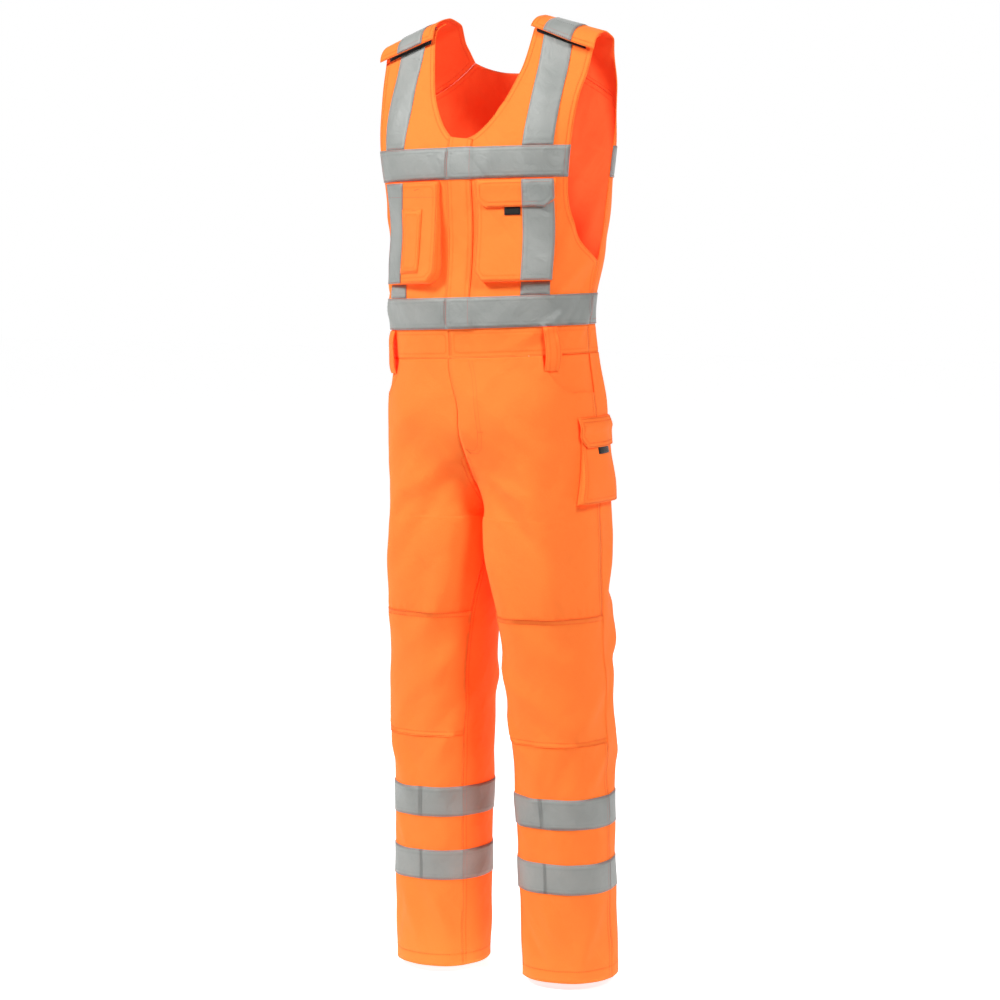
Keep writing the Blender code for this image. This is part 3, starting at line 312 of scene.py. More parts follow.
def folded(creases, around, z, girth):
    """How far a list of creases lifts the cloth; each ridge has a shallow trough beside it."""
    lift = np.zeros_like(z)
    for crease in creases:
        across = (np.mod(around - crease.around + 180, 360) - 180) * girth
        up = z - crease.height
        lean = radians(crease.lean)
        along = (up * cos(lean) + across * sin(lean)) / crease.length
        aside = (across * cos(lean) - up * sin(lean)) / crease.width - crease.bow * along ** 2
        ridge = np.exp(-aside ** 2) - TROUGH * np.exp(-((aside - TROUGH_ASIDE) / TROUGH_WIDTH) ** 2)
        lift += crease.rise * ridge * np.exp(-along ** 2)
    return lift * FOLD_STRENGTH


# Slow, uneven swells of the cloth: length of one swell, its direction, its shift and its rise.
Swell = namedtuple("Swell", "length way shift rise")
SWELLS = (Swell(0.210, 20, 0.4, 0.0009), Swell(0.145, -35, 1.9, 0.0007), Swell(0.095, 62, 3.3, 0.0005),
          Swell(0.071, -12, 5.0, 0.0004), Swell(0.052, 38, 0.9, 0.0003))


def swell(across, z):
    total = np.zeros_like(z)
    for one in SWELLS:
        way = radians(one.way)
        total += one.rise * np.sin(2 * pi / one.length * (across * cos(way) + z * sin(way)) + one.shift)
    return total


KNEE_SEAM = -0.947            # the knee pockets' upper seam gathers the cloth along it
GATHER = 0.0135               # from one ripple to the next


def gathers(across, z):
    """Short upright ripples along the knee pockets' seam, unevenly spaced."""
    wave = np.sin(2 * pi * across / GATHER + 1.4 * np.sin(across / 0.017))
    return 0.0009 * wave * np.exp(-((z - KNEE_SEAM) / 0.009) ** 2)


def draped(points):
    """The folds' shift of every point: the same for all layers that lie on one another."""
    x, y, z = points.T
    around = np.degrees(np.arctan2(x / TRUNK_HALVES[0], -y / TRUNK_HALVES[1]))
    on_trunk = 1 - smooth(-z, LEGS_FROM + 0.04, LEGS_BY)
    lift = folded(TRUNK_CREASES, around, z, TRUNK_DEGREE) * on_trunk
    lift += swell(around * TRUNK_DEGREE, z) * on_trunk * smooth(-z, 0.06, 0.20)
    aside, behind = leg_place(points)
    around = np.degrees(np.arctan2(aside / LEG_HALVES[0], -behind / LEG_HALVES[1]))
    off_centre = smooth(np.abs(x), 0.006, 0.040)
    for side, creases, shift in ((1, LEFT_LEG_CREASES, 0.0), (-1, RIGHT_LEG_CREASES, 0.7)):
        here = (x * side > 0) * off_centre * smooth(-z, 0.60, 0.78)
        lift += (folded(creases, around, z, LEG_DEGREE) + swell(around * LEG_DEGREE + shift, z)
                 + gathers(around * LEG_DEGREE, z) * (behind < 0)) * here
    return outward(points) * lift[:, None]


CAD_SHARP = radians(50)       # a rim meets its panel at a sharper angle than this
CORNER = radians(40)          # a rim that turns more than this has a corner there
SIDE_TURN = radians(38)       # a finished rim is cut into sides where it turns more than this
SAME_POINT = 0.00001
FACING = 0.35                 # a skin's faces look this much out of the garment, or into it
OUTER, INNER, RIM = 0, 1, 2
LARGE, SMALL = 3, 2           # how often a panel's net and a small piece's net are divided


def sort_faces(bm):
    """Mark each face as the outer skin, the inner skin or the rim between them."""
    for start in bm.faces:
        if start.tag:
            continue
        start.tag = True
        patch, stack = [], [start]
        while stack:
            face = stack.pop()
            patch.append(face)
            for edge in face.edges:
                if edge.calc_face_angle(pi) > CAD_SHARP:
                    continue
                for other in edge.link_faces:
                    if not other.tag:
                        other.tag = True
                        stack.append(other)
        areas = np.array([face.calc_area() for face in patch])
        normals = np.array([face.normal for face in patch])
        middles = np.array([face.calc_center_median() for face in patch])
        facing = ((normals * outward(middles)).sum(1) * areas).sum() / areas.sum()
        kind = OUTER if facing > FACING else INNER if facing < -FACING else RIM
        for face in patch:
            face.material_index = kind


def corners_of(mesh):
    coords = np.empty(len(mesh.vertices) * 3, np.float32)
    mesh.vertices.foreach_get("co", coords)
    return coords.reshape(-1, 3).astype(float)


def set_corners(mesh, coords):
    mesh.vertices.foreach_set("co", coords.astype(np.float32).ravel())
    mesh.update()


def fine_shell(node, name, levels):
    """A node's own form as a smooth closed shell with its folds.

    The triangles are joined to four-sided faces and subdivided, with the rims kept crisp.  The
    net is first pushed out until the smooth surface runs through all of the node's corners, so
    that layers that lie on each other stay in order.
    """
    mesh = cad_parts[node].data.copy()
    mesh.name = name
    mesh.materials.clear()
    bm = bmesh.new()
    bm.from_mesh(mesh)
    bmesh.ops.remove_doubles(bm, verts=bm.verts, dist=SAME_POINT)
    bmesh.ops.join_triangles(bm, faces=bm.faces, angle_face_threshold=radians(30),
                             angle_shape_threshold=radians(75))
    bm.normal_update()
    sort_faces(bm)
    crisp = bm.edges.layers.float.new("crease_edge")
    for edge in bm.edges:
        if edge.calc_face_angle(0) > CAD_SHARP:
            edge[crisp] = 1.0
    corner = bm.verts.layers.float.new("crease_vert")
    for vert in bm.verts:
        for skin in (OUTER, INNER):
            rim = [edge.other_vert(vert).co - vert.co for edge in vert.link_edges
                   if {face.material_index for face in edge.link_faces} == {skin, RIM}]
            if len(rim) == 2 and pi - rim[0].angle(rim[1]) > CORNER:
                vert[corner] = 1.0
    bm.to_mesh(mesh)
    bm.free()
    piece = bpy.data.objects.new(name, mesh)
    bpy.context.scene.collection.objects.link(piece)
    finer = piece.modifiers.new("finer", "SUBSURF")
    finer.levels = finer.render_levels = 1
    wanted = corners_of(mesh)
    net = wanted.copy()
    for _ in range(3):
        set_corners(mesh, net)
        piece.update_tag()
        bpy.context.view_layer.update()
        reached = corners_of(piece.evaluated_get(bpy.context.evaluated_depsgraph_get()).to_mesh())
        piece.evaluated_get(bpy.context.evaluated_depsgraph_get()).to_mesh_clear()
        net += 0.9 * (wanted - reached[:len(wanted)])
    set_corners(mesh, net)
    finer.levels = finer.render_levels = levels
    piece.update_tag()
    bpy.context.view_layer.update()
    smooth_mesh = bpy.data.meshes.new_from_object(
        piece.evaluated_get(bpy.context.evaluated_depsgraph_get()))
    piece.modifiers.clear()
    piece.data = smooth_mesh
    smooth_mesh.name = name
    coords = corners_of(smooth_mesh)
    set_corners(smooth_mesh, coords + draped(coords))
    smooth_mesh.shade_smooth()
    smooth_mesh.set_sharp_from_angle(angle=CAD_SHARP)
    return piece


class Side(namedtuple("Side", "points inward")):
    """One side of a piece's outer rim: its points in order, and the way in from each."""

    def middle(self):
        return self.points.mean(0)


def faces_of(mesh):
    """The kind, the normal and the middle of every face."""
    count = len(mesh.polygons)
    kinds = np.empty(count, np.int32)
    mesh.polygons.foreach_get("material_index", kinds)
    normals = np.empty(count * 3, np.float32)
    mesh.polygons.foreach_get("normal", normals)
    middles = np.empty(count * 3, np.float32)
    mesh.polygons.foreach_get("center", middles)
    return kinds, normals.reshape(-1, 3).astype(float), middles.reshape(-1, 3).astype(float)


def rim_sides(piece):
    """The outer rim of a piece, cut into sides at its corners."""
    mesh = piece.data
    kinds, normals, middles = faces_of(mesh)
    coords = corners_of(mesh)
    sizes = np.empty(len(mesh.polygons), np.int32)
    mesh.polygons.foreach_get("loop_total", sizes)
    owner = np.repeat(np.arange(len(sizes)), sizes)
    edge_of = np.empty(len(mesh.loops), np.int32)
    mesh.loops.foreach_get("edge_index", edge_of)
    ends = np.empty(len(mesh.edges) * 2, np.int32)
    mesh.edges.foreach_get("vertices", ends)
    ends = ends.reshape(-1, 2)
    has = np.zeros((len(mesh.edges), 3), bool)
    outer_face = np.full(len(mesh.edges), -1)
    for kind in (OUTER, INNER, RIM):
        has[edge_of[kinds[owner] == kind], kind] = True
    picked = kinds[owner] == OUTER
    outer_face[edge_of[picked]] = owner[picked]
    rim = np.flatnonzero(has[:, OUTER] & has[:, RIM])
    beside = {}
    for edge in rim:
        a, b = ends[edge]
        beside.setdefault(a, []).append((b, edge))
        beside.setdefault(b, []).append((a, edge))
    used, sides = set(), []
    for edge in rim:
        if edge in used:
            continue
        used.add(edge)
        chain, faces = [ends[edge][0], ends[edge][1]], [outer_face[edge]]
        for forward in (True, False):
            while True:
                here = chain[-1] if forward else chain[0]
                onward = [(v, e) for v, e in beside[here] if e not in used]
                if len(beside[here]) != 2 or not onward:
                    break
                v, e = onward[0]
                used.add(e)
                chain.insert(len(chain) if forward else 0, v)
                faces.insert(len(faces) if forward else 0, outer_face[e])
        points = coords[chain]
        closed = chain[0] == chain[-1]
        steps = unit(np.diff(points, axis=0))
        turn = np.arccos(np.clip((steps[1:] * steps[:-1]).sum(1), -1, 1))
        cuts = [0] + [i + 1 for i in np.flatnonzero(turn > SIDE_TURN)] + [len(points) - 1]
        spans = [list(range(a, b + 1)) for a, b in zip(cuts, cuts[1:])]
        if closed and len(spans) > 1 and (steps[0] @ steps[-1]) > cos(SIDE_TURN):
            spans[0] = spans.pop()[:-1] + spans[0]
        for span in spans:
            if len(span) < 3:
                continue
            faces_here = [faces[min(i, len(faces) - 1)] for i in span]
            line = points[span]
            inward = unit(np.cross(normals[faces_here], unit(np.gradient(line, axis=0))))
            towards = middles[faces_here] - line
            inward *= np.sign((inward * towards).sum(1).mean() or 1)
            sides.append(Side(line, inward))
    return sides


def level(side):
    """A side that runs across the garment and not up it."""
    run = side.points[-1] - side.points[0]
    return abs(run[2]) < 0.5 * np.linalg.norm(run)


def tree_of(points):
    """A search tree of points, each known by its number."""
    tree = KDTree(len(points))
    for number, point in enumerate(points):
        tree.insert(point, number)
    tree.balance()
    return tree


def note_distance(piece, name, sides):
    """Write how far each corner lies from the given sides, for the sewn edges' relief."""
    coords = corners_of(piece.data)
    away = np.ones(len(coords), np.float32)
    if sides:
        tree = tree_of(np.concatenate([side.points for side in sides]))
        away = np.array([tree.find(point)[2] for point in coords], np.float32)
    if name not in piece.data.attributes:
        piece.data.attributes.new(name, "FLOAT", "POINT")
    piece.data.attributes[name].data.foreach_set("value", away)


def press(piece, sides, reach, depth):
    """Press a piece's outer skin down towards the given sides of its rim."""
    tree = tree_of(np.concatenate([side.points for side in sides]))
    coords = corners_of(piece.data)
    outer = np.zeros(len(coords))
    for face in piece.data.polygons:
        if face.material_index == OUTER:
            outer[list(face.vertices)] = 1
    near = np.array([1 - smooth(tree.find(point)[2], 0, reach) for point in coords])
    set_corners(piece.data, coords - outward(coords) * (outer * near * depth)[:, None])


def map_weave(piece):
    """A UV map in metres: across the cloth and up it."""
    mesh = piece.data
    coords = corners_of(mesh)
    x, y, z = coords.T
    aside, behind = leg_place(coords)
    if coords.mean(0)[2] < -LEGS_FROM:
        turn, radius = np.arctan2(aside, -behind), LEG_RADIUS
    else:
        turn, radius = np.arctan2(x, -y), TRUNK_RADIUS
    if turn.max() - turn.min() > 1.5 * pi:      # it passes the back, where the turn starts again
        turn = np.where(turn < 0, turn + 2 * pi, turn)
    layer = mesh.uv_layers.new(name="weave")
    corner = np.empty(len(mesh.loops), np.int32)
    mesh.loops.foreach_get("vertex_index", corner)
    layer.data.foreach_set("uv", np.stack([turn * radius, z], axis=1)[corner].astype(np.float32).ravel())


class Term:
    """One output of a shader node; sums and products of terms add Math nodes."""

    def __init__(self, finish, socket):
        self.finish, self.socket = finish, socket

    def maths(self, operation, first, second=0.0):
        return self.finish.node("ShaderNodeMath", {"operation": operation}, {0: first, 1: second})

    def __add__(self, other):
        return self.maths("ADD", self, other)

    def __sub__(self, other):
        return self.maths("SUBTRACT", self, other)

    def __mul__(self, other):
        return self.maths("MULTIPLY", self, other)

    def __truediv__(self, other):
        return self.maths("DIVIDE", self, other)


class Finish:
    """A material in the making: its shader and one way of adding nodes."""

    def __init__(self, name, **constants):
        self.material = bpy.data.materials.new(name)
        self.material.use_nodes = True
        self.tree = self.material.node_tree
        self.shader = self.tree.nodes["Principled BSDF"]
        for socket, value in constants.items():
            self.shader.inputs[socket.replace("_", " ")].default_value = value

    def node(self, kind, settings=None, inputs=None, output=0):
        node = self.tree.nodes.new(kind)
        for name, value in (settings or {}).items():
            if name == "stops":
                ramp = node.color_ramp
                for number, (place, colour) in enumerate(value):
                    stop = (ramp.elements[number] if number < len(ramp.elements)
                            else ramp.elements.new(place))
                    stop.position, stop.color = place, colour
            else:
                setattr(node, name, value)
        for name, value in (inputs or {}).items():
            if isinstance(value, Term):
                self.tree.links.new(value.socket, node.inputs[name])
            else:
                node.inputs[name].default_value = value
        return Term(self, node.outputs[output])

    def drive(self, socket, term):
        self.tree.links.new(term.socket, self.shader.inputs[socket])


def bell(term, middle, width):
    """A soft bump of 1 where a distance is near the middle."""
    away = (term - middle) / width
    return term.maths("EXPONENT", away * away * -1.0)


FELL_ROWS = (0.0018, 0.0078)      # two rows of stitches along a felled or hemmed edge
ROW_DENTS = (0.0013, 0.0015)      # half the width of the dent under each of them
FELL_PUCKER = 0.0075
LEG_HEM_ROW = 0.020
HEM_DENT, HEM_PUCKER = 0.0018, 0.010
RIB_PITCH, RIB_SLANT = 0.0012, 0.9
# Long shallow creases by their lean in degrees, their width, their length and their rise.
Pull = namedtuple("Pull", "lean width length rise")
CLOTH_PULLS = (Pull(38, 0.030, 0.110, 0.0022), Pull(-34, 0.036, 0.130, 0.0022))


def across_and_up(finish, weave):
    """The two ways of the cloth, as terms."""
    across = finish.node("ShaderNodeSeparateXYZ", inputs={0: weave})
    return across, Term(finish, across.socket.node.outputs[1])


def slanting(finish, weave, pull):
    """Creases that lean one way, as cloth has where it was folded or is pulled."""
    across, up = across_and_up(finish, weave)
    lean = radians(pull.lean)
    stretched = finish.node("ShaderNodeCombineXYZ", inputs={
        0: (across * cos(lean) + up * sin(lean)) / pull.width,
        1: (up * cos(lean) - across * sin(lean)) / pull.length})
    return finish.node("ShaderNodeTexNoise", inputs={
        "Vector": stretched, "Scale": 1.0, "Detail": 2.0, "Roughness": 0.4, "Distortion": 0.6})


def sewn_relief(finish, depth):
    """Dents along the rows of stitches, and puckers of the cloth between them; the rows' mask also
    serves for painted shade in the dents.
    """
    place = finish.node("ShaderNodeTexCoord", output=3)
    seam = finish.node("ShaderNodeAttribute", {"attribute_name": "seam"}, output=2)
    hem = finish.node("ShaderNodeAttribute", {"attribute_name": "hem"}, output=2)
    pucker = finish.node("ShaderNodeTexNoise", inputs={"Vector": place, "Scale": 150.0, "Detail": 2.0})
    rows = bell(seam, FELL_ROWS[0], ROW_DENTS[0]) * 0.6 + bell(seam, FELL_ROWS[1], ROW_DENTS[1])
    rows = rows + bell(hem, LEG_HEM_ROW, HEM_DENT)
    near = bell(seam, FELL_ROWS[1], FELL_PUCKER) + bell(hem, LEG_HEM_ROW, HEM_PUCKER)
    return rows, near * pucker * depth * 3.0 - rows * depth


def cloth_finish(name, bright, deep, painted_glow, roughness=0.82):
    """Fluorescent twill: fine slanting ribs, slubs, small wrinkles and sewn edges, painted shade in the
    stitch rows, and a constant painted glow in place of the dye's fluorescence.
    """
    # The emission is a constant painted glow, in place of the dye's fluorescence, which keeps the shade
    # red.
    finish = Finish(name, Roughness=roughness, Specular_IOR_Level=0.22, Sheen_Weight=0.10,
                    Sheen_Roughness=0.5, Sheen_Tint=(1.0, 0.60, 0.30, 1),
                    Emission_Color=painted_glow, Emission_Strength=1.0)
    weave = finish.node("ShaderNodeUVMap", {"uv_map": "weave"})
    place = finish.node("ShaderNodeTexCoord", output=3)
    across, up = across_and_up(finish, weave)
    ribs = across.maths("SINE", (across + up * RIB_SLANT) * (2 * pi / RIB_PITCH))
    slub = finish.node("ShaderNodeTexNoise", {"noise_dimensions": "2D"},
                       {"Vector": weave, "Scale": 520.0, "Detail": 3.0})
    patchy = finish.node("ShaderNodeTexNoise", inputs={"Vector": place, "Scale": 7.0, "Detail": 4.0})
    wrinkle = finish.node("ShaderNodeTexNoise", inputs={
        "Vector": place, "Scale": 26.0, "Detail": 3.0, "Roughness": 0.5, "Distortion": 0.8})
    rows, relief = sewn_relief(finish, 0.00025)
    height = ribs * 0.00002 + slub * 0.00012 + wrinkle * 0.00180 + relief
    for pull in CLOTH_PULLS:
        height = height + slanting(finish, weave, pull) * pull.rise
    finish.drive("Normal", finish.node("ShaderNodeBump", inputs={
        "Strength": 1.0, "Distance": 1.0, "Height": height}))
    # Random tone from patches, slubs and ribs; the colour is also darker along the stitch rows, as
    # painted shade in their dents.
    shade = (patchy - 0.5) * 0.30 + (slub - 0.5) * 0.25 + 0.5 - rows * 0.22 + ribs * 0.02
    painted_row_shade = tuple(part * 0.6 for part in deep[:3]) + (1,)
    finish.drive("Base Color", finish.node("ShaderNodeValToRGB", {
        "stops": ((0.05, painted_row_shade), (0.30, deep), (0.70, bright))}, {0: shade}))
    return finish.material


# The last colour of each is a constant painted glow. The inside finish is a darker, redder copy of the
# outside one: painted shade for the shade and red bounce within the garment.
OUTSIDE = cloth_finish("orange_twill", (1.0, 0.300, 0.052, 1), (0.97, 0.235, 0.034, 1),
                       (0.29, 0.004, 0.001, 1))
SHADED_INSIDE = cloth_finish("orange_twill_painted_shade_inside", (0.92, 0.175, 0.045, 1), (0.86, 0.135, 0.030, 1),
                      (0.20, 0.008, 0.002, 1), 0.9)
PIECES = {}


def dress(node, levels, finishes=(OUTSIDE, SHADED_INSIDE),
          suffix="_cloth"):
    """The finished shell of one piece, in place of its plain solid."""
    piece = fine_shell(node, node + suffix, levels)
    map_weave(piece)
    # The inner skin takes the second finish; for the twill that is its painted-shade copy.
    for finish in (finishes[0], finishes[1], finishes[0]):
        piece.data.materials.append(finish)
    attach(piece, "root")
    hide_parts(node)
    PIECES[node] = piece
    return piece


for hand in ("left", "right"):
    dress("trouser_front_" + hand, LARGE)
    dress("trouser_back_" + hand, LARGE)

# --- bib -------------------------------------------------------------------------------------
# The upper half: a back cut up to a low scoop, two fronts that meet under the placket, and two
# straps of doubled cloth that run from the back over the shoulders as flaps.

dress("bib_back", LARGE)
for hand in ("left", "right"):
    dress("bib_front_" + hand, LARGE)
    dress("back_strap_" + hand, SMALL)
placket = dress("placket", SMALL)
press(placket, [side for side in rim_sides(placket) if side.middle()[0] > 0.015], 0.010, 0.0012)

# --- waistband -------------------------------------------------------------------------------
# A doubled band of the same twill between bib and trousers, split under the placket, with four
# belt loops that stand off it far enough for a belt.

band = dress("waistband_back", SMALL)
press(band, [side for side in rim_sides(band) if level(side)], 0.006, 0.0008)
for hand, run in (("left", 0.255), ("right", 0.225)):
    band = dress("waistband_front_" + hand, SMALL)
    press(band, [side for side in rim_sides(band) if level(side)], 0.006, 0.0008)
    for face in ("front", "back"):
        dress("belt_loop_%s_%s" % (face, hand), SMALL)

# --- pockets ---------------------------------------------------------------------------------
# Round front pockets show only their facings.  Knee pockets are patches sewn into both side
# seams; the chest and thigh pockets are bags with a gusset, two of them under chamfered flaps.

for hand in ("left", "right"):
    dress("pocket_facing_" + hand, SMALL)
    pocket = dress("knee_pocket_" + hand, SMALL)
    press(pocket, rim_sides(pocket), 0.012, 0.0012)
    dress("chest_pocket_" + hand, SMALL)
dress("chest_pocket_flap", SMALL)
dress("pen_patch", SMALL)
dress("cargo_pocket", SMALL)
dress("cargo_flap", SMALL)

# --- reflective tape -------------------------------------------------------------------------
# Grey tape 50 mm wide, woven with glass beads on its face, stitched along both edges: one ring
# at the chest and one at the waist, two braces over the shoulders and two rings on each leg.


TAPE_PULL = Pull(40, 0.026, 0.080, 0.0026)
RING_GAP = (0.0001, 0.0007)       # how near and how far apart the two ends of a ring may lie
RING_LEVEL = 0.0002


def tape_finish():
    """Glass beads on grey cloth: matt in plain light, with fine creases and a worn bloom, and painted
    shade in the creases' hollows and along the stitch rows.
    """
    finish = Finish("bead_tape", Specular_IOR_Level=0.5, Sheen_Weight=0.15, Sheen_Roughness=0.4)
    weave = finish.node("ShaderNodeUVMap", {"uv_map": "weave"})
    place = finish.node("ShaderNodeTexCoord", output=3)
    beads = finish.node("ShaderNodeTexVoronoi", {"voronoi_dimensions": "2D"},
                        {"Vector": weave, "Scale": 1400.0})
    crumple = finish.node("ShaderNodeTexNoise", inputs={
        "Vector": place, "Scale": 30.0, "Detail": 4.0, "Roughness": 0.6, "Distortion": 1.2})
    bloom = finish.node("ShaderNodeTexNoise", inputs={"Vector": place, "Scale": 14.0, "Detail": 5.0})
    rows, relief = sewn_relief(finish, 0.00018)
    height = beads * 0.00008 + crumple * 0.00180 + relief
    height = height + slanting(finish, weave, TAPE_PULL) * TAPE_PULL.rise
    finish.drive("Normal", finish.node("ShaderNodeBump", inputs={
        "Strength": 1.0, "Distance": 1.0, "Height": height}))
    # The worn bloom varies the grey at random. The crumple term darkens the creases' hollows and the
    # rows term the stitch dents, both as painted shade.
    tone = bloom * 0.7 + crumple * 0.3 - rows * 0.10 - beads * 0.06
    finish.drive("Base Color", finish.node("ShaderNodeValToRGB", {"stops": (
        (0.25, (0.300, 0.318, 0.303, 1)), (0.75, (0.415, 0.428, 0.408, 1)))}, {0: tone}))
    finish.drive("Roughness", bloom * 0.2 + 0.42)
    return finish.material


def close_ring(band):
    """Bring the two ends of a leg's tape together, each corner to the one that faces it."""
    coords = corners_of(band.data)
    kinds = faces_of(band.data)[0]
    ends = sorted({corner for face, kind in zip(band.data.polygons, kinds) if kind == RIM
                   and abs(face.normal.z) < 0.5 for corner in face.vertices})
    tree = tree_of(coords[ends])
    closed = coords.copy()
    for number in ends:
        for _, found, distance in tree.find_n(coords[number], 6):
            other = ends[found]
            level_with = abs(coords[other][2] - coords[number][2]) < RING_LEVEL
            if RING_GAP[0] < distance < RING_GAP[1] and level_with:
                closed[number] = (coords[number] + coords[other]) / 2
                break
    set_corners(band.data, closed)


TAPE = tape_finish()
# The cut length of each stretch of tape, and what it is stitched to.
Stretch = namedtuple("Stretch", "node length on")
STRETCHES = [
    Stretch("chest_tape_back", 0.505, "bib_back"),
    Stretch("chest_tape_left", 0.226, "bib_front_left"),
    Stretch("chest_tape_right", 0.162, "bib_front_right"),
    Stretch("waist_tape_back", 0.480, "bib_back"),
    Stretch("waist_tape_left", 0.280, "bib_front_left"),
    Stretch("waist_tape_right", 0.218, "bib_front_right"),
    Stretch("chest_flap_tape", 0.046, "chest_pocket_flap"),
]
for hand in ("left", "right"):
    STRETCHES += [
        Stretch("brace_back_lower_" + hand, 0.190, "bib_back"),
        Stretch("brace_back_upper_" + hand, 0.108, "bib_back"),
        Stretch("brace_front_lower_" + hand, 0.026, "bib_front_" + hand),
        Stretch("brace_front_upper_" + hand, 0.175, "bib_front_" + hand),
        Stretch("brace_strap_" + hand, 0.184, "back_strap_" + hand),
        Stretch("chest_pocket_tape_" + hand, 0.168, "chest_pocket_" + hand),
        Stretch("leg_tape_upper_" + hand, 0.540, "trouser_front_" + hand),
        Stretch("leg_tape_lower_" + hand, 0.524, "trouser_front_" + hand),
    ]
for stretch in STRETCHES:
    band = dress(stretch.node, SMALL, finishes=(TAPE, TAPE),
                 suffix="_band")
    if stretch.node.startswith("leg_tape"):
        close_ring(band)

# --- shoulder fastening and tabs -------------------------------------------------------------
# Black hook-and-loop strips join each strap's flap to the top of the bib front.  Two folded
# black woven tabs, with nothing on them, are caught under the flaps of the chest and thigh.


def fuzz_finish(name, tone, scale, relief):
    """Black nylon: loops or hooks on a woven ground."""
    finish = Finish(name, Roughness=0.75, Specular_IOR_Level=0.3, Sheen_Weight=0.25)
    place = finish.node("ShaderNodeTexCoord", output=3)
    tufts = finish.node("ShaderNodeTexVoronoi", inputs={"Vector": place, "Scale": scale})
    finish.drive("Normal", finish.node("ShaderNodeBump", inputs={
        "Strength": 1.0, "Distance": 1.0, "Height": tufts * relief}))
    finish.drive("Base Color", finish.node("ShaderNodeValToRGB", {"stops": (
        (0.0, tuple(part * 1.6 for part in tone) + (1,)), (0.8, tone + (1,)))}, {0: tufts}))
    return finish.material


HOOKS = fuzz_finish("black_hooks", (0.012, 0.012, 0.013), 900.0, 0.0006)
LOOPS = fuzz_finish("black_loops", (0.018, 0.018, 0.019), 600.0, 0.0008)
TAB_CLOTH = fuzz_finish("black_satin", (0.010, 0.011, 0.010), 1500.0, 0.0002)
for hand in ("left", "right"):
    dress("hook_strip_" + hand, SMALL,
          finishes=(HOOKS, HOOKS), suffix="_fuzz")
    dress("loop_strip_" + hand, SMALL,
          finishes=(LOOPS, LOOPS), suffix="_fuzz")
for node, under in (("chest_tab", "chest_pocket_flap"), ("cargo_tab", "cargo_flap")):
    dress(node, SMALL, finishes=(TAB_CLOTH, TAB_CLOTH),
          suffix="_label")

# --- sewing ----------------------------------------------------------------------------------
# Lockstitch in spun polyester, about three stitches to the centimetre.  Orange thread closes
# seams and hems; a redder one holds the tapes.  Rows sewn last run on over the tapes.

THREAD_ROWS = {"orange": [], "red": [], "dark": []}
Thread = namedtuple("Thread", "length pitch width rise")
TOPSTITCH = Thread(0.0026, 0.0036, 0.00080, 0.00036)
TAPE_STITCH = Thread(0.0029, 0.0036, 0.00080, 0.00040)
BARTACK = Thread(0.0016, 0.0009, 0.00060, 0.00050)


def skin_tree(pieces, skin=OUTER):
    """A search tree of one skin of several pieces."""
    corners, faces = [], []
    for piece in pieces:
        kinds = faces_of(piece.data)[0]
        first = len(corners)
        corners += corners_of(piece.data).tolist()
        faces += [[first + corner for corner in face.vertices]
                  for face, kind in zip(piece.data.polygons, kinds) if kind == skin]
    return BVHTree.FromPolygons(corners, faces)


ON_TAPE = skin_tree([PIECES[stretch.node] for stretch in STRETCHES])
TAPE_REACH = 0.0035           # a tape lies this near above the skin, or isn't there
SKIN_REACH = 0.006


def run_along(line):
    """How far along a line each of its points lies."""
    return np.concatenate([[0], np.cumsum(np.linalg.norm(np.diff(line, axis=0), axis=1))])


def lay_stitches(tree, line, thread, kind=TOPSTITCH):
    """Stitches along a line, each seated on the skin below it, or on a tape sewn on there."""
    run = run_along(line)
    if run[-1] < kind.pitch * 2:
        return
    places = np.arange(kind.pitch / 2, run[-1], kind.pitch)
    centres = np.stack([np.interp(places, run, line[:, i]) for i in range(3)], axis=1)
    for centre, way in zip(centres, unit(np.gradient(centres, axis=0))):
        spot, normal, _, distance = tree.find_nearest(Vector(centre))
        if spot is None or distance > SKIN_REACH:
            continue
        colour = thread
        over, its_normal, _, _ = ON_TAPE.ray_cast(spot + normal * TAPE_REACH, -normal, TAPE_REACH)
        if over is not None:
            spot, normal, colour = over, its_normal, "red" if thread == "orange" else thread
        normal = np.array(normal)
        way = way - normal * (way @ normal)
        THREAD_ROWS[colour].append((np.array(spot), unit(way), normal, kind))


def topstitch(node, insets, thread, chosen=lambda side: True, attribute="seam", kind=TOPSTITCH,
              where=lambda points: np.ones(len(points), bool), skins=(OUTER,)):
    """Rows of stitches at each inset from a piece's edge, along the chosen stretches of it."""
    piece = PIECES[node]
    trees = [skin_tree([piece], skin) for skin in skins]
    sides = []
    for side in rim_sides(piece):
        if chosen(side):
            wanted = where(side.points)
            cuts = np.flatnonzero(np.diff(wanted.astype(int))) + 1
            for span in np.split(np.arange(len(wanted)), cuts):
                if wanted[span[0]] and len(span) > 2:
                    sides.append(Side(side.points[span], side.inward[span]))
    note_distance(piece, attribute, sides)
    for side in sides:
        for inset in insets:
            line, run = side.points + side.inward * inset, run_along(side.points)
            keep = (run > inset * 0.9) & (run < run[-1] - inset * 0.9)
            if keep.sum() > 2:
                for tree in trees:
                    lay_stitches(tree, line[keep], thread, kind)


LEG_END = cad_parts["trouser_front_left"].bound_box[0][2] + 0.03
INSEAM_TOP = -0.780
OUTSEAM_FROM = 0.12           # the outseams lie further aside than this
CENTRE_WITHIN = 0.02          # and the centre seam nearer the middle than this
TROUSERS_TOP = -0.552         # the waistband hides the upper edge of the trousers
FLY_END = -0.700              # the centre seam has its rows from here down
NECK_END = -0.197
BIB_END = -0.480


